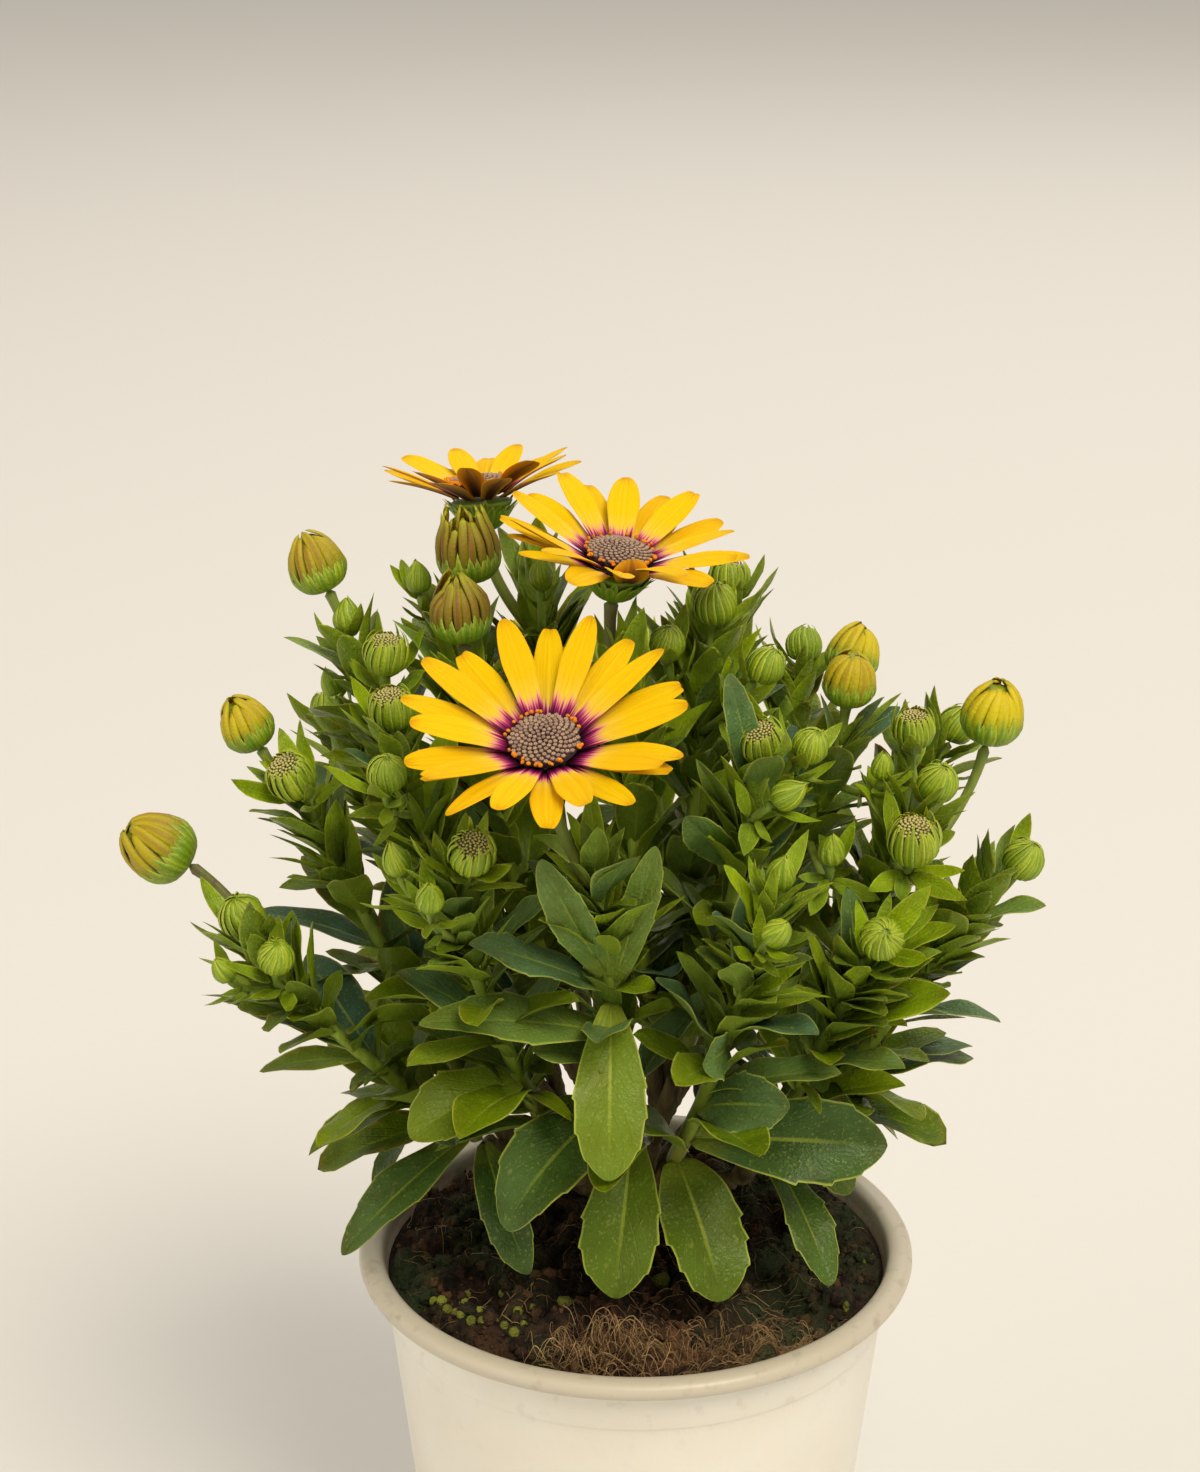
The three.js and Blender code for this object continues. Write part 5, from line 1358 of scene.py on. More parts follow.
def add_beads(shape, placing, count, reach, base, dome, size, finish, rng):
    """Closed florets in a sunflower spiral on a dome: radius with the root of their number."""
    i = np.arange(count) + 0.5
    radius, angle = reach * np.sqrt(i / count), i * GOLDEN_ANGLE
    rings = np.array([[0.0, -0.5], [0.9, -0.3], [1.0, 0.3], [0.75, 0.8], [0.0, 1.0]])
    bead = lathe_grid(rings * size, 6)[0]
    height = base + dome * (1 - (radius / reach) ** 2)
    grid = bead[None] + around_z(radius, angle, height)[:, None, None]
    uv = round_uv(np.array([0, 0.2, 0.5, 0.9, 1.0]), 6)
    shape.add_balls(placed(grid, placing), uv, look_of(rng.random((count, 1, 1))), finish)


# rows of radius and height, as shares of a green bud's width
SHUT_BUD = ((0.14, 0.02), (0.36, 0.13), (0.465, 0.38), (0.43, 0.66), (0.25, 0.9), (0.05, 0.97))
SMALL_BUD = ((0.14, 0.02), (0.34, 0.18), (0.39, 0.46), (0.28, 0.78), (0.11, 1.0), (0.02, 1.1))
OPEN_BUD = ((0.14, 0.02), (0.37, 0.13), (0.485, 0.38), (0.47, 0.64), (0.4, 0.84), (0.31, 0.97))


def add_green_bud(shape, bud, index, rng):
    """A green bud on its stalk: two rings of narrow bracts over a body, and florets if it opens."""
    shoot, share, at, lean, width, opening = bud
    curve, placing = head_placing(shoot, share, at, lean, width / 2)
    add_stalk(shape, curve, STALK_RADIUS["green"], 0.0, rng)
    small = width < 7.8
    # the bracts' free tips stand off the bud, so it is made a little slimmer than the solid
    width *= 0.94
    profile = np.array(OPEN_BUD if opening else SMALL_BUD if small else SHUT_BUD) * width
    inner = profile * (0.95, 0.97)
    body = np.vstack([[0, 0.01 * width], inner[:-1] * (0.98, 0.98), [0, 0.92 * width]])
    if opening:
        dish = np.array([[0.3, 0.74], [0, 0.78]]) * width
        body = np.vstack([[0, 0.01 * width], inner[:4] * (0.95, 1), dish])
    add_body(shape, body, placing, BRACT, age=0.4)
    count = 11 if small else 15
    half = (1.25 if small else 1.05) * width / count
    twist = (0.2 if opening else 0.75) * (1 if index % 2 else -1)
    flat = {"keel": 0.012 * width, "tuck": 0.016 * width, "twist": twist}
    add_strips(shape, inner, placing, count, 1.2 * half, 0.3 * index, rng, BRACT, ages=(0.5, 0.9), **flat)
    free = 0.1 * width if opening else 0.03 * width
    turn = 0.3 * index + math.pi / count
    outer = profile * (1.03, 1.12) if opening else profile
    add_strips(shape, outer, placing, count, half, turn, rng, BRACT, tip=0.95, free=free, uneven=0.3, **flat)
    if opening:
        add_beads(shape, placing, 70, 0.36 * width, 0.78 * width, 0.07 * width, 0.038 * width, BUTTON, rng)


def add_calyx(shape, placing, cup, count, half, rng, ages):
    """Two rings of narrow pointed bracts, pressed to a head along rows of radius and height."""
    style = {"tip": 0.9, "ages": ages}
    add_strips(shape, cup * (0.97, 0.84), placing, count, 1.15 * half, 0.42, rng, BRACT, keel=0.15, **style)
    add_strips(shape, cup, placing, count, half, 0.2, rng, BRACT, uneven=0.2, **style)


def add_ripe_calyx(shape, name, rng):
    """The green cup of a ripe bud: a body and narrow bracts that end in points on its ribs."""
    shoot, share, at, lean, width, _ = RIPE_BUDS[name]
    curve, placing = head_placing(shoot, share, at, lean, width / 2)
    purple = 0.9 if name in PURPLE_STALKS else 0.3
    add_stalk(shape, curve, STALK_RADIUS["ripe"], purple, rng)
    body = np.array([[0, 0.02], [0.2, 0.03], [0.36, 0.13], [0.44, 0.28], [0.42, 0.38], [0, 0.3]]) * width
    add_body(shape, body, placing, BRACT, around=18)
    cup = np.array([[0.14, 0.0], [0.36, 0.1], [0.485, 0.29], [0.51, 0.45], [0.485, 0.64]]) * width
    add_calyx(shape, placing, cup, 15, 0.078 * width, rng, (0.1, 0.7))


def add_bloom_calyx(shape, name, rng):
    """The grey-green cup under a bloom, with rings of narrow bracts pressed to it."""
    shoot, at, face = BLOOMS[name][:3]
    curve, placing = head_placing(shoot, BLOOM_SHARE, at, face, BLOOM_FOOT)
    add_stalk(shape, curve, STALK_RADIUS["bloom"], 0.9 if name == "middle" else 0.45, rng)
    body = [[0, 0.0], [1.6, 0.0], [3.6, 1.6], [5.2, 4.0], [6.4, 6.0], [6.0, 6.6], [0, 6.6]]
    add_body(shape, np.array(body), placing, BRACT, around=20)
    cup = np.array([[1.5, 0.0], [3.9, 1.5], [5.6, 3.8], [7.0, 6.0], [8.6, 7.6]])
    add_calyx(shape, placing, cup, 16, 1.05, rng, (0.0, 0.4))


def bract_leaf(bud, index):
    """The small leaf that cups a green bud, as the solid has it."""
    _, _, at, lean, width, _ = bud
    facing, at = unit(lean), np.array(at, float)
    out = square_to(facing, 1.3 * index)
    root = at - 0.72 * width * facing - 0.4 * out
    tip = at + width * (0.3 + 0.4 * BRACT_DRAWS[index]) * facing + width * out
    return root, tip, -out, -1.0, 0.45 * width


# room for guards, and how far round a leaf they are looked for
MOST_GUARDS, GUARDS_NEAR = 60000, 7
# how far an added leaf stays inside the CAD box, above the pot's rim and off the guards
BOX_GAP, RIM_GAP, LEAF_GAP = 2, 1.5, 0.4
# added leaves that reach further out than this may hang below the rim
RIM_REACH = 62


class Guards:
    """What an added leaf keeps off: rows of a point and a radius."""

    rows = np.empty((MOST_GUARDS, 4))
    used = 0


def guard(points, radius):
    """Adds points with a radius to the guards."""
    points = np.reshape(points, (-1, 3))
    added = Guards.rows[Guards.used : Guards.used + len(points)]
    added[:, :3], added[:, 3] = points, radius
    Guards.used += len(points)


def guard_heads():
    """Guards the heads, their stalks and the blooms' rays."""
    heads = [(*bud[:4], bud[4] / 2, bud[4] / 2) for bud in (*GREEN_BUDS, *RIPE_BUDS.values())]
    heads += [(bloom[0], BLOOM_SHARE, *bloom[1:3], BLOOM_FOOT, 5) for bloom in BLOOMS.values()]
    for shoot, share, at, lean, drop, radius in heads:
        curve, (foot, axes) = head_placing(shoot, share, at, lean, drop)
        guard([foot + axes[2] * drop * k for k in (0.6, 1.3, 2.0)], radius + 0.3)
        guard(bezier(curve, np.linspace(0.2, 1, 6))[0], 1.4)
    for shoot, at, face, _, long, _, rise in BLOOMS.values():
        _, placing = head_placing(shoot, BLOOM_SHARE, at, face, BLOOM_FOOT)
        reach, angle = np.meshgrid(np.linspace(0.1, 1.1, 6) * long, np.arange(40) * math.tau / 40)
        height = PLATE_MIDDLE + reach * math.tan(math.radians(rise))
        guard(placed(around_z(RAY_ROOT + reach, angle, height), placing), 2.4)


def leaf_samples(leaf, shares):
    """Places on a leaf's middle line and near its margins, at shares of its length."""
    root, tip, up, bend, width = leaf[:5]
    frames = blade_frame(*(np.array([row], float) for row in (root, tip, up)), np.array([bend], float))
    reach = np.array([-0.7, 0, 0.7]) * half_width(shares, 0.56, 0.75, 0.2)[:, None] * width / 2
    return blade_grid(frames, shares[:, None, None], reach[None], 0.2 * np.abs(reach)[None])[0].reshape(-1, 3)


def roomy(leaf):
    """True if a leaf keeps off all guards, the pot's rim and the soil, and inside the CAD box."""
    samples = leaf_samples(leaf, np.array([0.4, 0.55, 0.7, 0.85, 1.0]))
    low, high = (np.array(corner) / MM for corner in CAD_BOX)
    if (samples < low + BOX_GAP).any() or (samples > high - BOX_GAP).any():
        return False
    out = np.hypot(samples[:, 0], samples[:, 1])
    if ((samples[:, 2] < POT["height"] + RIM_GAP) & (out < RIM_REACH)).any():
        return False
    guards = Guards.rows[: Guards.used]
    low, high = samples.min(0) - GUARDS_NEAR, samples.max(0) + GUARDS_NEAR
    guards = guards[((guards[:, :3] > low) & (guards[:, :3] < high)).all(1)]
    if (np.linalg.norm(samples[:, None] - guards[:, :3], axis=2) < guards[:, 3] + LEAF_GAP).any():
        return False
    guard(samples, LEAF_GAP)
    return True


def added_leaves(name, look, rng):
    """Lesser leaves that the solid leaves out: between those of the spiral, and young ones at the tip."""
    curve = shoot_curve(name)
    first_turn = SHOOTS[name][3]
    tall = 1.25 if name.startswith(TALL_SHOOTS) else 1.0
    bare = 0.5 if name in BARE_SHOOTS else 0.24
    low, high = np.linspace(bare, 0.95, look.between_leaves), np.linspace(0.75, 1.0, look.young_leaves)
    plans = [(share, mix(33, 15, share), mix(1.1, 0.55, share), 0.25, 0.45) for share in low]
    plans += [(share, tall * mix(34, 19, share), mix(1.1, 0.32, share), 0.8, 0.3) for share in high]
    found = []
    for i, (share, long, spread, age, stray) in enumerate(plans):
        point, along = bezier(curve, share)
        slender = 0.13 if rng.random() < 0.12 else rng.uniform(0.23, 0.36) + 0.08 * (age < 0.5)
        for attempt in range(10):
            turn = first_turn + (i + 0.5) * GOLDEN_ANGLE + rng.uniform(-0.4, 0.4) * (1 + attempt)
            size = long * rng.uniform(1.15 - 1.2 * stray, 1.15) * 0.94**attempt
            out = square_to(along, turn)
            lean = spread + stray * rng.uniform(-1, 1)
            tip = point + size * (along * math.cos(lean) + out * math.sin(lean))
            leaf = (mix(point, tip, -0.04), tip, along + SKYWARD, mix(0.6, 0.25, share), size * slender)
            if roomy(leaf):
                older = min(1.0, age + 0.3 * share * rng.random())
                found.append((*leaf, older, 0.5 * rng.random() ** 2, 0.0))
                break
    return found


def collar_leaves(bud, count, rng):
    """Small upright leaves on a stalk, close under a bud: they lean out from it and cup it."""
    shoot, share, at, lean, width = bud[:5]
    curve, _ = head_placing(shoot, share, at, lean, width / 2)
    found = []
    for i in range(count):
        for attempt in range(6):
            root, along = bezier(curve, rng.uniform(0.3, 0.95))
            out = square_to(along, i * math.tau / count + rng.uniform(-0.8, 0.8))
            lean_out = rng.uniform(0.5, 0.95)
            size = rng.uniform(1.1, 1.9) * width * 0.95**attempt
            tip = root + size * (along * math.cos(lean_out) + out * math.sin(lean_out))
            leaf = (root, tip, along - 0.6 * out, rng.uniform(-1.2, 0.1), size * rng.uniform(0.2, 0.31))
            if roomy(leaf):
                found.append((*leaf, rng.uniform(0.7, 1.0), 0.2 * rng.random(), 0.0))
                break
    return found


def guard_shoots(spirals):
    """Guards the stems, the spiral leaves and the large leaves."""
    shares = np.linspace(0.3, 1, 7)
    for name, rows in spirals.items():
        guard(bezier(shoot_curve(name), np.linspace(0.1, 1, 20))[0], 1.4)
        for row in rows:
            guard(leaf_samples(row, shares), 0.5)
    for shoot, share, tip, width, bend, up in LARGE_LEAVES:
        root, _ = bezier(shoot_curve(shoot), share)
        guard(leaf_samples((root, tip, up, bend, width), shares), 0.5)


def add_stem(shape, curve, rng):
    """A shoot's stem from its stub to its tip, which gets slimmer, and is ribbed and a little uneven."""
    t = np.linspace(STUB_SHARE + 0.01, 1, 34)
    radius = STEM_RADIUS * mix(1.12, 0.62, t) * (1 + 0.03 * rng.normal(size=len(t)))
    shape.add_balls(tube_grid(curve, t, radius, 12, 0.06, 5), round_uv(t, 12), look_of(rng.random()), STEM)


def large_leaves(name, rng):
    """A shoot's large leaves. The ones that hang low are the oldest, and the ones above get a painted bluish
    sheen.
    """
    found = []
    for shoot, share, tip, width, bend, up in LARGE_LEAVES:
        if shoot == name:
            high = tip[2] > HANGING_BELOW
            blue = rng.uniform(0.4, 0.9) if high else 0.3 * rng.random()
            root, _ = bezier(shoot_curve(name), share)
            age = mix(0.0, 0.5 if high else 0.15, share)
            found.append((root, tip, up, bend, width, age, blue, rng.uniform(0.6, 1.2)))
    return found


def middle_leaves(name, spiral, rng):
    """A shoot's spiral leaves, which get younger up it, and of which some get a painted bluish sheen."""
    sheened = 0.8 if name in SHEENED_SHOOTS else 0.35
    found = []
    for root, tip, up, bend, width, share in spiral:
        blue = (rng.random() < sheened) * rng.uniform(0.4, 0.95)
        found.append((root, tip, up, bend, width * rng.uniform(0.85, 1.0), mix(0.0, 0.75, share), blue, 0.0))
    return found


class BuildShoots(bpy.types.Operator):
    """Builds the leafy shoots, each with its stem, leaves, stalks, green buds and calyces"""

    bl_idname = "osteospermum.shoots"
    bl_label = "Leafy shoots"

    def execute(self, context):
        look = context.scene.osteospermum_foliage
        finishes = [leaf_material(look), stem_material(look), bract_material(look), button_material()]
        spirals = {name: spiral_leaves(name) for name in SHOOTS}
        Guards.used = 0
        guard_heads()
        guard_shoots(spirals)
        for order, name in enumerate(SHOOTS):
            rng = np.random.default_rng(100 + order)
            shape = Shape()
            add_stem(shape, shoot_curve(name), rng)
            add_leaves(shape, large_leaves(name, rng), LARGE_LEAF, look, rng)
            add_leaves(shape, middle_leaves(name, spirals[name], rng), MIDDLE_LEAF, look, rng)
            added = added_leaves(name, look, rng)
            add_leaves(shape, [leaf for leaf in added if leaf[5] < 0.6], LESSER_LEAF, look, rng)
            small = [leaf for leaf in added if leaf[5] >= 0.6]
            for index, bud in enumerate(GREEN_BUDS):
                if bud[0] == name:
                    add_green_bud(shape, bud, index, rng)
                    small.append((*bract_leaf(bud, index), 0.7, 0.0, 0.0))
                    small += collar_leaves(bud, look.collar_leaves, rng)
            add_leaves(shape, small, SMALL_LEAF, look, rng)
            for bud, plan in RIPE_BUDS.items():
                if plan[0] == name:
                    add_ripe_calyx(shape, bud, rng)
            for bloom, plan in BLOOMS.items():
                if plan[0] == name:
                    add_bloom_calyx(shape, bloom, rng)
            shape.to_object("leafy_" + name, finishes, "shoot_" + name)
        return {"FINISHED"}


# ---------------------------------------------------------------- blooms and ripe buds

RAY_SECTION = Section(0.14, 0.28, 0.42, 0.57, 0.71, 0.86, 0.95, 1)
RAY_RINGS = np.concatenate([np.linspace(0, 0.8, 17), 1 - 0.2 * (1 - np.linspace(0, 1, 12)[1:]) ** 1.7])
LESSER_RAYS = {"front": 3, "middle": 2, "back": 1}

# rays of the middle bloom that lie another way: their heading in degrees, and their twist in radians
TWISTED_RAYS = ((-170, -0.2), (-157, -0.3))
CURLED_RAY = -72


def ray_plan(name):
    """A bloom's rays by azimuth, climb, length and layer: the solid's own, then lesser ones below them."""
    count, length, _, rise = BLOOMS[name][3:]
    before = 2 * sum(BLOOMS[other][3] for other in list(BLOOMS)[: list(BLOOMS).index(name)])
    jitter, longer = RAY_DRAWS[before : before + 2 * count].reshape(-1, 2).T
    layer = np.where(np.arange(count) % 2, 1.0, -1.0)
    angle = math.tau * np.arange(count) / count + 0.08 * (jitter - 0.5)
    long = length * (0.93 + 0.14 * longer)
    lesser = np.arange(LESSER_RAYS[name])
    angle = np.append(angle, math.tau * (7 * lesser + 1.5) / count)
    layer = np.append(layer, np.full(len(lesser), -1.8))
    long = np.append(long, length * (0.86 + 0.05 * lesser))
    return angle, np.radians(rise + layer * LAYER_CLIMB), long, layer


def add_rays(shape, name, look, rng):
    """The rays of a bloom as straps with pleats and a nicked tip.

    A ray's half width grows from a narrow foot as u^1.2 and closes as a flat ellipse. Its pleats are
    cosines across it, and near the tip a point moves back by a bell curve across it.
    """
    shoot, at, face = BLOOMS[name][:3]
    _, placing = head_placing(shoot, BLOOM_SHARE, at, face, BLOOM_FOOT)
    angle, climb, long, layer = ray_plan(name)
    count = len(angle)
    out = around_z(1.0, angle, 0.0)
    root = out * RAY_ROOT + (0, 0, 1) * (PLATE_MIDDLE + layer * LAYER_STEP)[:, None]
    tip = root + out * (long * np.cos(climb))[:, None] + (0, 0, 1) * (long * np.sin(climb))[:, None]
    bend = 0.24 + rng.normal(0, 0.13, count)
    bend = np.where(np.abs(bend) < 0.04, 0.04, bend)
    twist = rng.normal(0, 0.2, count)
    width = BLOOMS[name][5] * rng.uniform(0.94, 1.06, count)
    if name == "middle":
        width *= 1.08
        heading = np.degrees(np.arctan2(*(out @ placing[1])[:, 1::-1].T))
        for degrees, turn in TWISTED_RAYS:
            twist[np.abs(heading - degrees).argmin()] = turn
        curled = np.abs(heading - CURLED_RAY).argmin()
        root[curled] += out[curled] * 1.6
        tip[curled] = root[curled] + 1.4 * out[curled] + (0, 0, 5.6)
        bend[curled], twist[curled], width[curled] = -2.5, 0.25, 7.6
    frames = blade_frame(root, tip, np.tile((0.0, 0, 1), (count, 1)), bend)
    u, section = RAY_RINGS[:, None], RAY_SECTION
    closed = np.minimum(1, np.maximum(0, (u - 0.42) / 0.58)) ** 2.6
    outline = (0.52 + 0.48 * np.minimum(1, u / 0.58) ** 1.2) * np.sqrt(1 - closed)
    reach = outline * section.v * width[:, None, None] / 2
    pleats = np.cos(7 * section.v) * (1 - section.v**2)
    rise_off = look.pleat / MM * pleats * np.minimum(1, 4 * (1 - u)) + 0.1 * np.abs(reach)
    curl = rng.normal(0, 0.045, (count, 1, 1)) * width[:, None, None] * u**3
    rise_off = rise_off + section.skin * look.ray_thickness / MM / 2 * np.minimum(1, 6 * (1 - u)) + curl
    deep = rng.choice([0.0, 0.015, 0.035], (count, 1, 1))
    place = rng.uniform(-0.35, 0.35, (count, 1, 1))
    closing = smoothstep(0.965, 1, u)
    bell = np.exp(-(((section.v - place) / 0.22) ** 2))
    nick = deep * smoothstep(0.84, 0.99, u) * (bell * (1 - closing) + closing)
    grid = blade_grid(frames, (u - nick)[..., None], reach, rise_off, twist)
    looks = look_of(rng.random((count, 1, 1)), 0.0, section.under, 0.0)
    shape.add_balls(placed(grid, placing), section.uv(u), looks, 0, section.margin)


class BuildRays(bpy.types.Operator):
    """Builds the ray petals of the three blooms"""

    bl_idname = "osteospermum.rays"
    bl_label = "Ray petals"

    def execute(self, context):
        look = context.scene.osteospermum_bloom
        petal = ray_material(look)
        for order, name in enumerate(BLOOMS):
            shape = Shape()
            add_rays(shape, name, look, np.random.default_rng(40 + order))
            shape.to_object(f"petals_{name}", [petal], f"bloom_{name}_rays")
        return {"FINISHED"}


# how far out the closed florets stand, and the ring of open ones that bear pollen
FLORET_REACH, POLLEN_REACH, OPEN_FLORETS = 6.4, 7.2, 24


class BuildDiscs(bpy.types.Operator):
    """Builds the discs of the three blooms: closed florets in a sunflower spiral, and pollen round them"""

    bl_idname = "osteospermum.discs"
    bl_label = "Discs"

    def execute(self, context):
        look = context.scene.osteospermum_bloom
        finishes = [disc_material(look), pollen_material(look)]
        for order, (name, plan) in enumerate(BLOOMS.items()):
            rng = np.random.default_rng(60 + order)
            shape = Shape()
            _, placing = head_placing(plan[0], BLOOM_SHARE, *plan[1:3], BLOOM_FOOT)
            climb = math.tan(math.radians(plan[6] + LAYER_CLIMB))
            brim = BLOOM_FOOT + 0.8 + (DISC_RADIUS - RAY_ROOT) * climb
            add_disc(shape, placing, brim, look.disc_florets, rng)
            shape.to_object(f"disc_{name}", finishes, f"bloom_{name}_disc")
        return {"FINISHED"}


def add_disc(shape, placing, brim, count, rng):
    """A disc: a dome painted dark as the shade under its florets, florets on it that stand closer and lower
    to the middle, and pollen.

    A floret is a lathe of seven rings whose radius swells five times round it, so it is a small star.
    """
    dome = [[0, brim - 2.5], [4.8, brim - 2.4], [6.4, brim - 1.2], [6.6, brim - 0.3]]
    dome += [[5.6, brim + 0.4], [3, brim + 0.7], [0, brim + 0.8]]
    # the dome takes the darkest stops of the disc finish, as painted shade under the florets
    add_body(shape, np.array(dome), placing, 0, around=40, rows=20)
    i = np.arange(count) + 0.5
    radius, angle = FLORET_REACH * np.sqrt(i / count), i * GOLDEN_ANGLE
    size = 0.5 * (0.86 + 0.28 * radius / FLORET_REACH)
    rows = np.array([[0.0, -1.4], [0.8, -1.0], [0.98, 0.4], [1.0, 1.0], [0.7, 1.5], [0.32, 1.62], [0.0, 1.4]])
    bud = lathe_grid(rows, 10, [0, 0, 0, 0.06, 0.18, 0.28, 0], 5)[0]
    height = brim + 0.65 - 1.1 * (radius / FLORET_REACH) ** 2.4
    lean = 0.35 * (radius / FLORET_REACH) ** 1.5
    grid = bud[None] * size[:, None, None, None]
    spin = angle + rng.uniform(0, math.tau, count)
    turns = (np.cos(spin), np.sin(spin), np.cos(lean), np.sin(lean))
    cos, sin, rise, slide = (part[:, None, None] for part in turns)
    away = radius[:, None, None] + grid[..., 2] * slide
    x = grid[..., 0] * cos - grid[..., 1] * sin + away * np.cos(angle)[:, None, None]
    y = grid[..., 0] * sin + grid[..., 1] * cos + away * np.sin(angle)[:, None, None]
    z = grid[..., 2] * rise + height[:, None, None]
    uv = round_uv(np.array([0, 0, 0.3, 0.62, 0.9, 1.0, 0.5]), 10)
    shape.add_balls(placed(np.stack([x, y, z], -1), placing), uv, look_of(rng.random((count, 1, 1))), 0)
    # pollen: one to three grains on most of the open florets of the outer ring
    spots = np.repeat(np.arange(OPEN_FLORETS), rng.integers(0, 4, OPEN_FLORETS))
    turn = math.tau * spots / OPEN_FLORETS + rng.normal(0, 0.05, len(spots))
    reach = POLLEN_REACH + 0.3 * rng.normal(size=len(spots)).clip(-1, 1)
    ball = lathe_grid(np.array([[0, -1], [0.8, -0.6], [1.0, 0.1], [0.7, 0.75], [0, 1]]) * 0.42, 7)
    middle = around_z(reach, turn, brim + 0.2 + 0.5 * rng.random(len(spots)))
    grid = ball * rng.uniform(0.7, 1.3, (len(spots), 1, 1, 3)) + middle[:, None, None]
    shape.add_balls(placed(grid, placing), FLAT_UV, look_of(rng.random((len(spots), 1, 1))), 1)


# rows of radius and height, as shares of a ripe bud's width
RIPE_LINE = ((0.14, 0.04), (0.37, 0.15), (0.46, 0.38), (0.43, 0.63), (0.34, 0.85), (0.19, 1.01), (0.07, 1.08))
BRONZE = {"left_low": 0.5, "left_high": 0.6, "left_middle": 0.25, "right_high": 0.35}
OPEN_CORE = ((0, 0.22), (0.3, 0.3), (0.32, 0.6), (0.2, 0.86), (0, 0.9))
OPEN_LINE = ((0.16, 0.1), (0.41, 0.24), (0.47, 0.46), (0.44, 0.72))
# the rings of rays in a half-open bud: their share of its width, their number and their turn
OPEN_RINGS = ((1.0, 18, 0.1), (0.76, 13, 0.4), (0.48, 8, 0.0))


def add_shut_florets(shape, placing, width, bronze, rng):
    """A ripe bud's rolled rays: a body and one ring of strips over it that lean together at the top."""
    line = np.array(RIPE_LINE) * width
    core = np.vstack([[0, line[0, 1]], line[:-1] * (0.93, 0.97), [0, 0.99 * width]])
    add_body(shape, core, placing, 0, around=16, age=0.6)
    add_strips(
        shape, line, placing, 15, 0.108 * width, 0.1, rng, 0, CHANNEL_SECTION, keel=0.05 * width,
        tuck=0.015 * width, tip=0.4, twist=0.25, free=0.035 * width, uneven=0.2, bronze=bronze,
    )


def add_parted_florets(shape, placing, width, parting, rng):
    """A half-open bud's rays: three rings of strips that part at the top by a share of its width."""
    add_body(shape, np.array(OPEN_CORE) * width, placing, 0, around=16)
    line = np.array([*OPEN_LINE, (mix(0.38, parting, 0.4), 0.96), (parting, 1.16)]) * width
    for share, count, turn in OPEN_RINGS:
        add_strips(
            shape, line * (share, 1.03), placing, count, share * 0.084 * width, turn, rng, 0, CHANNEL_SECTION,
            keel=0.045 * width, tip=0.25, twist=0.1, free=0.3 * parting * width, uneven=0.26, bronze=1.0,
        )


class BuildRipeBuds(bpy.types.Operator):
    """Builds the rolled florets of the ripe and the half-open buds"""

    bl_idname = "osteospermum.ripe_buds"
    bl_label = "Ripe buds"

    def execute(self, context):
        finishes = [folded_ray_material()]
        for order, (name, plan) in enumerate(RIPE_BUDS.items()):
            rng = np.random.default_rng(80 + order)
            shape = Shape()
            shoot, share, at, lean, width, parting = plan
            _, placing = head_placing(shoot, share, at, lean, width / 2)
            if parting is None:
                add_shut_florets(shape, placing, width, BRONZE.get(name, 0.0), rng)
            else:
                add_parted_florets(shape, placing, width, parting, rng)
            shape.to_object(f"furled_{name}", finishes, f"bud_{name}_florets")
        return {"FINISHED"}


# ---------------------------------------------------------------- stage

FOCAL_LENGTH = 73.37
CAMERA_PLACE = (-0.0077, -0.57543, 0.43233)
CAMERA_PITCH = math.radians(70)


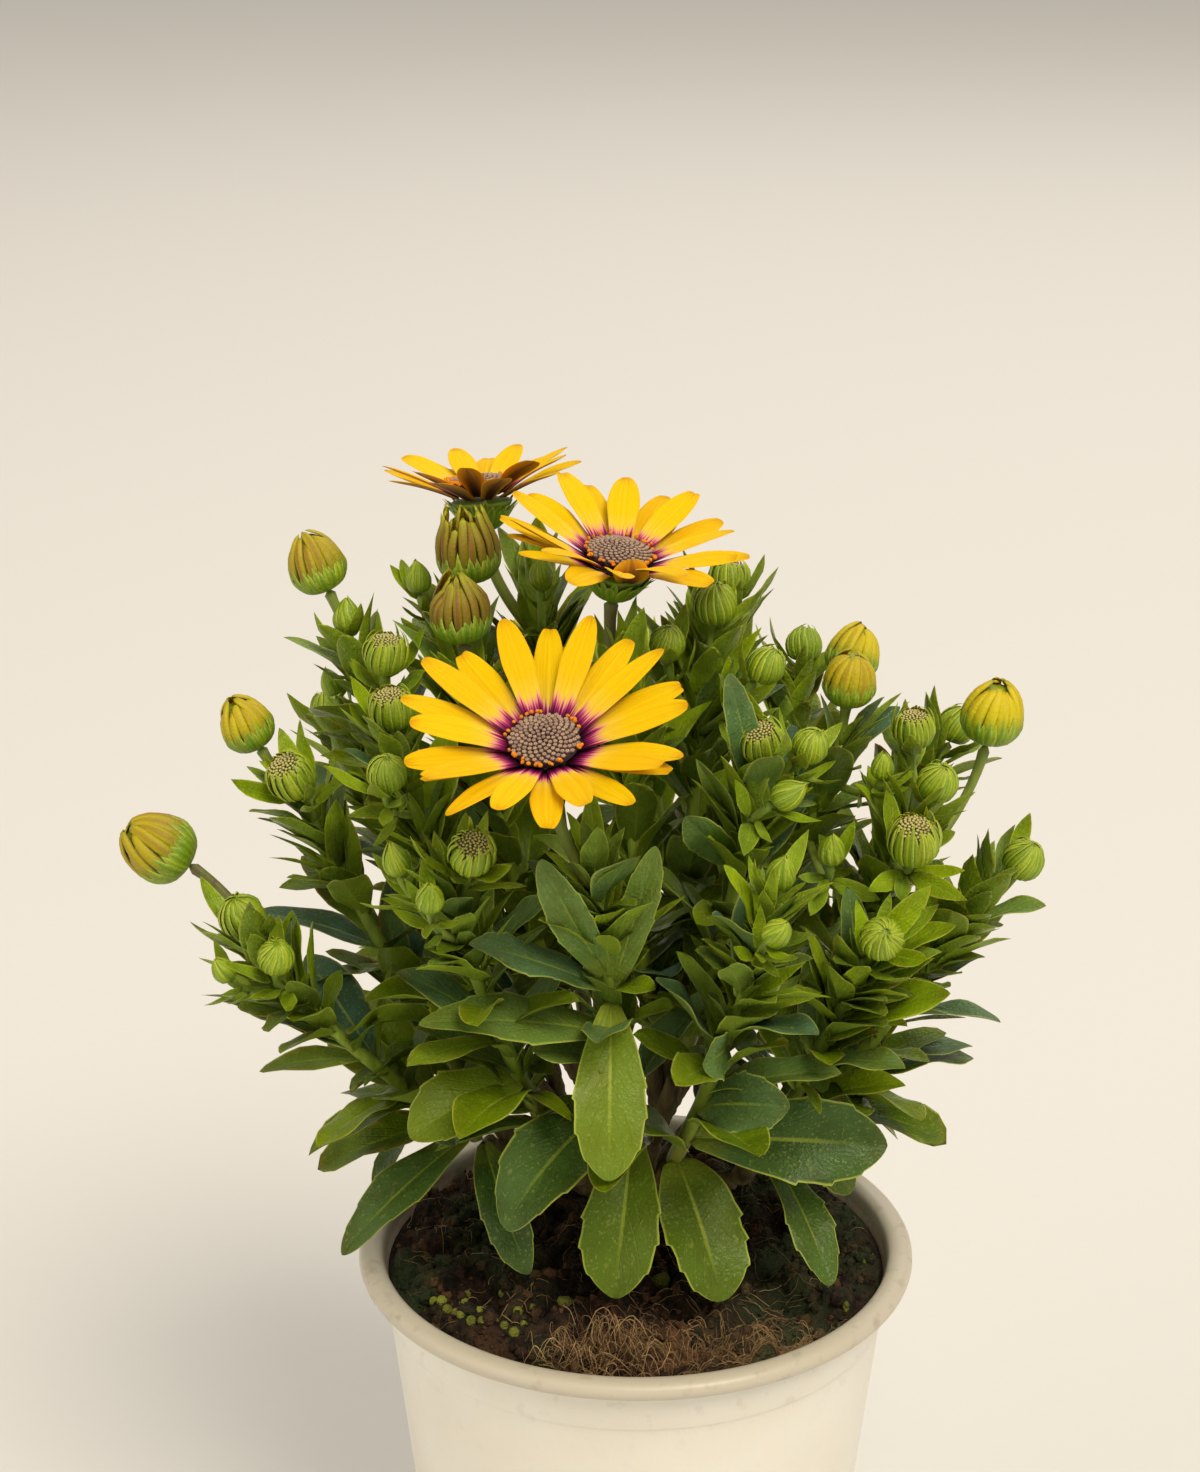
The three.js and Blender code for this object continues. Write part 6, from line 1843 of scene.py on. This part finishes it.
class BuildStage(bpy.types.Operator):
    """Builds the floor, the studio lights and the camera"""

    bl_idname = "osteospermum.stage"
    bl_label = "Stage"

    def execute(self, context):
        look = context.scene.osteospermum_stage
        scene = context.scene
        material, add = new_material("floor_paper")
        finish_material(add, look.floor_colour, (), 0.9, 0.0001, grain=300.0, detail=2.0)
        mesh = bpy.data.meshes.new("floor")
        corners = [(-6, -4, 0), (6, -4, 0), (6, 9, 0), (-6, 9, 0)]
        mesh.from_pydata(corners, [], [(0, 1, 2, 3)])
        mesh.materials.append(material)
        floor = bpy.data.objects.new("floor", mesh)
        scene.collection.objects.link(floor)
        add_light(scene, "key", (1.26, -2.1, 3.45), 2.1, look.key_power, "#FFF1DE")
        add_light(scene, "fill", (-1.8, -1.0, 1.4), 1.8, look.fill_power, "#FFF0DC")
        add_light(scene, "back", (0.5, 1.8, 1.8), 1.6, look.fill_power, "#FFF8F0")
        world = bpy.data.worlds.new("studio")
        world.use_nodes = True
        world.node_tree.nodes["Background"].inputs[0].default_value = colour("#F4ECDF")
        world.node_tree.nodes["Background"].inputs[1].default_value = look.sky
        scene.world = world
        # a plain display curve, so that a strong yellow stays strong
        scene.view_settings.view_transform = "Standard"
        lens = bpy.data.cameras.new("camera")
        lens.sensor_width = 36
        lens.lens = FOCAL_LENGTH
        camera = bpy.data.objects.new("camera", lens)
        camera.location = CAMERA_PLACE
        camera.rotation_euler = (CAMERA_PITCH, 0, 0)
        scene.collection.objects.link(camera)
        scene.camera = camera
        return {"FINISHED"}


def add_light(scene, name, place, size, power, shade):
    """A square area light that points at the middle of the plant."""
    light = bpy.data.lights.new(name, "AREA")
    light.size, light.energy, light.color = size, power, colour(shade)[:3]
    lamp = bpy.data.objects.new(name, light)
    lamp.location = place
    lamp.rotation_euler = (Vector((0, 0, 0.16)) - lamp.location).to_track_quat("-Z", "Y").to_euler()
    scene.collection.objects.link(lamp)


# ---------------------------------------------------------------- the add-on

SETTINGS = {
    "osteospermum_pot": PotSettings,
    "osteospermum_soil": SoilSettings,
    "osteospermum_foliage": FoliageSettings,
    "osteospermum_bloom": BloomSettings,
    "osteospermum_stage": StageSettings,
}
OPERATORS = (BuildPot, BuildSoil, BuildCrown, BuildShoots, BuildRays, BuildDiscs, BuildRipeBuds, BuildStage)


class OsteospermumPanel(bpy.types.Panel):
    """Lists the settings and builds the pieces"""

    bl_idname = "VIEW3D_PT_osteospermum"
    bl_label = "Potted osteospermum"
    bl_space_type = "VIEW_3D"
    bl_region_type = "UI"
    bl_category = "Osteospermum"

    def draw(self, context):
        for key, group in SETTINGS.items():
            box = self.layout.box()
            for prop in group.__annotations__:
                box.prop(getattr(context.scene, key), prop)
        for operator in OPERATORS:
            self.layout.operator(operator.bl_idname)


def register():
    """Registers the classes and hangs the settings on the scene."""
    for made in (*SETTINGS.values(), *OPERATORS, OsteospermumPanel):
        bpy.utils.register_class(made)
    for key, group in SETTINGS.items():
        setattr(bpy.types.Scene, key, bpy.props.PointerProperty(type=group))


def unregister():
    """Takes back what register did."""
    for key in SETTINGS:
        delattr(bpy.types.Scene, key)
    for made in (OsteospermumPanel, *OPERATORS, *SETTINGS.values()):
        bpy.utils.unregister_class(made)


def main():
    """Builds every piece in order."""
    register()
    for operator in OPERATORS:
        getattr(bpy.ops.osteospermum, operator.bl_idname.split(".")[1])()


if __name__ == "__main__":
    main()
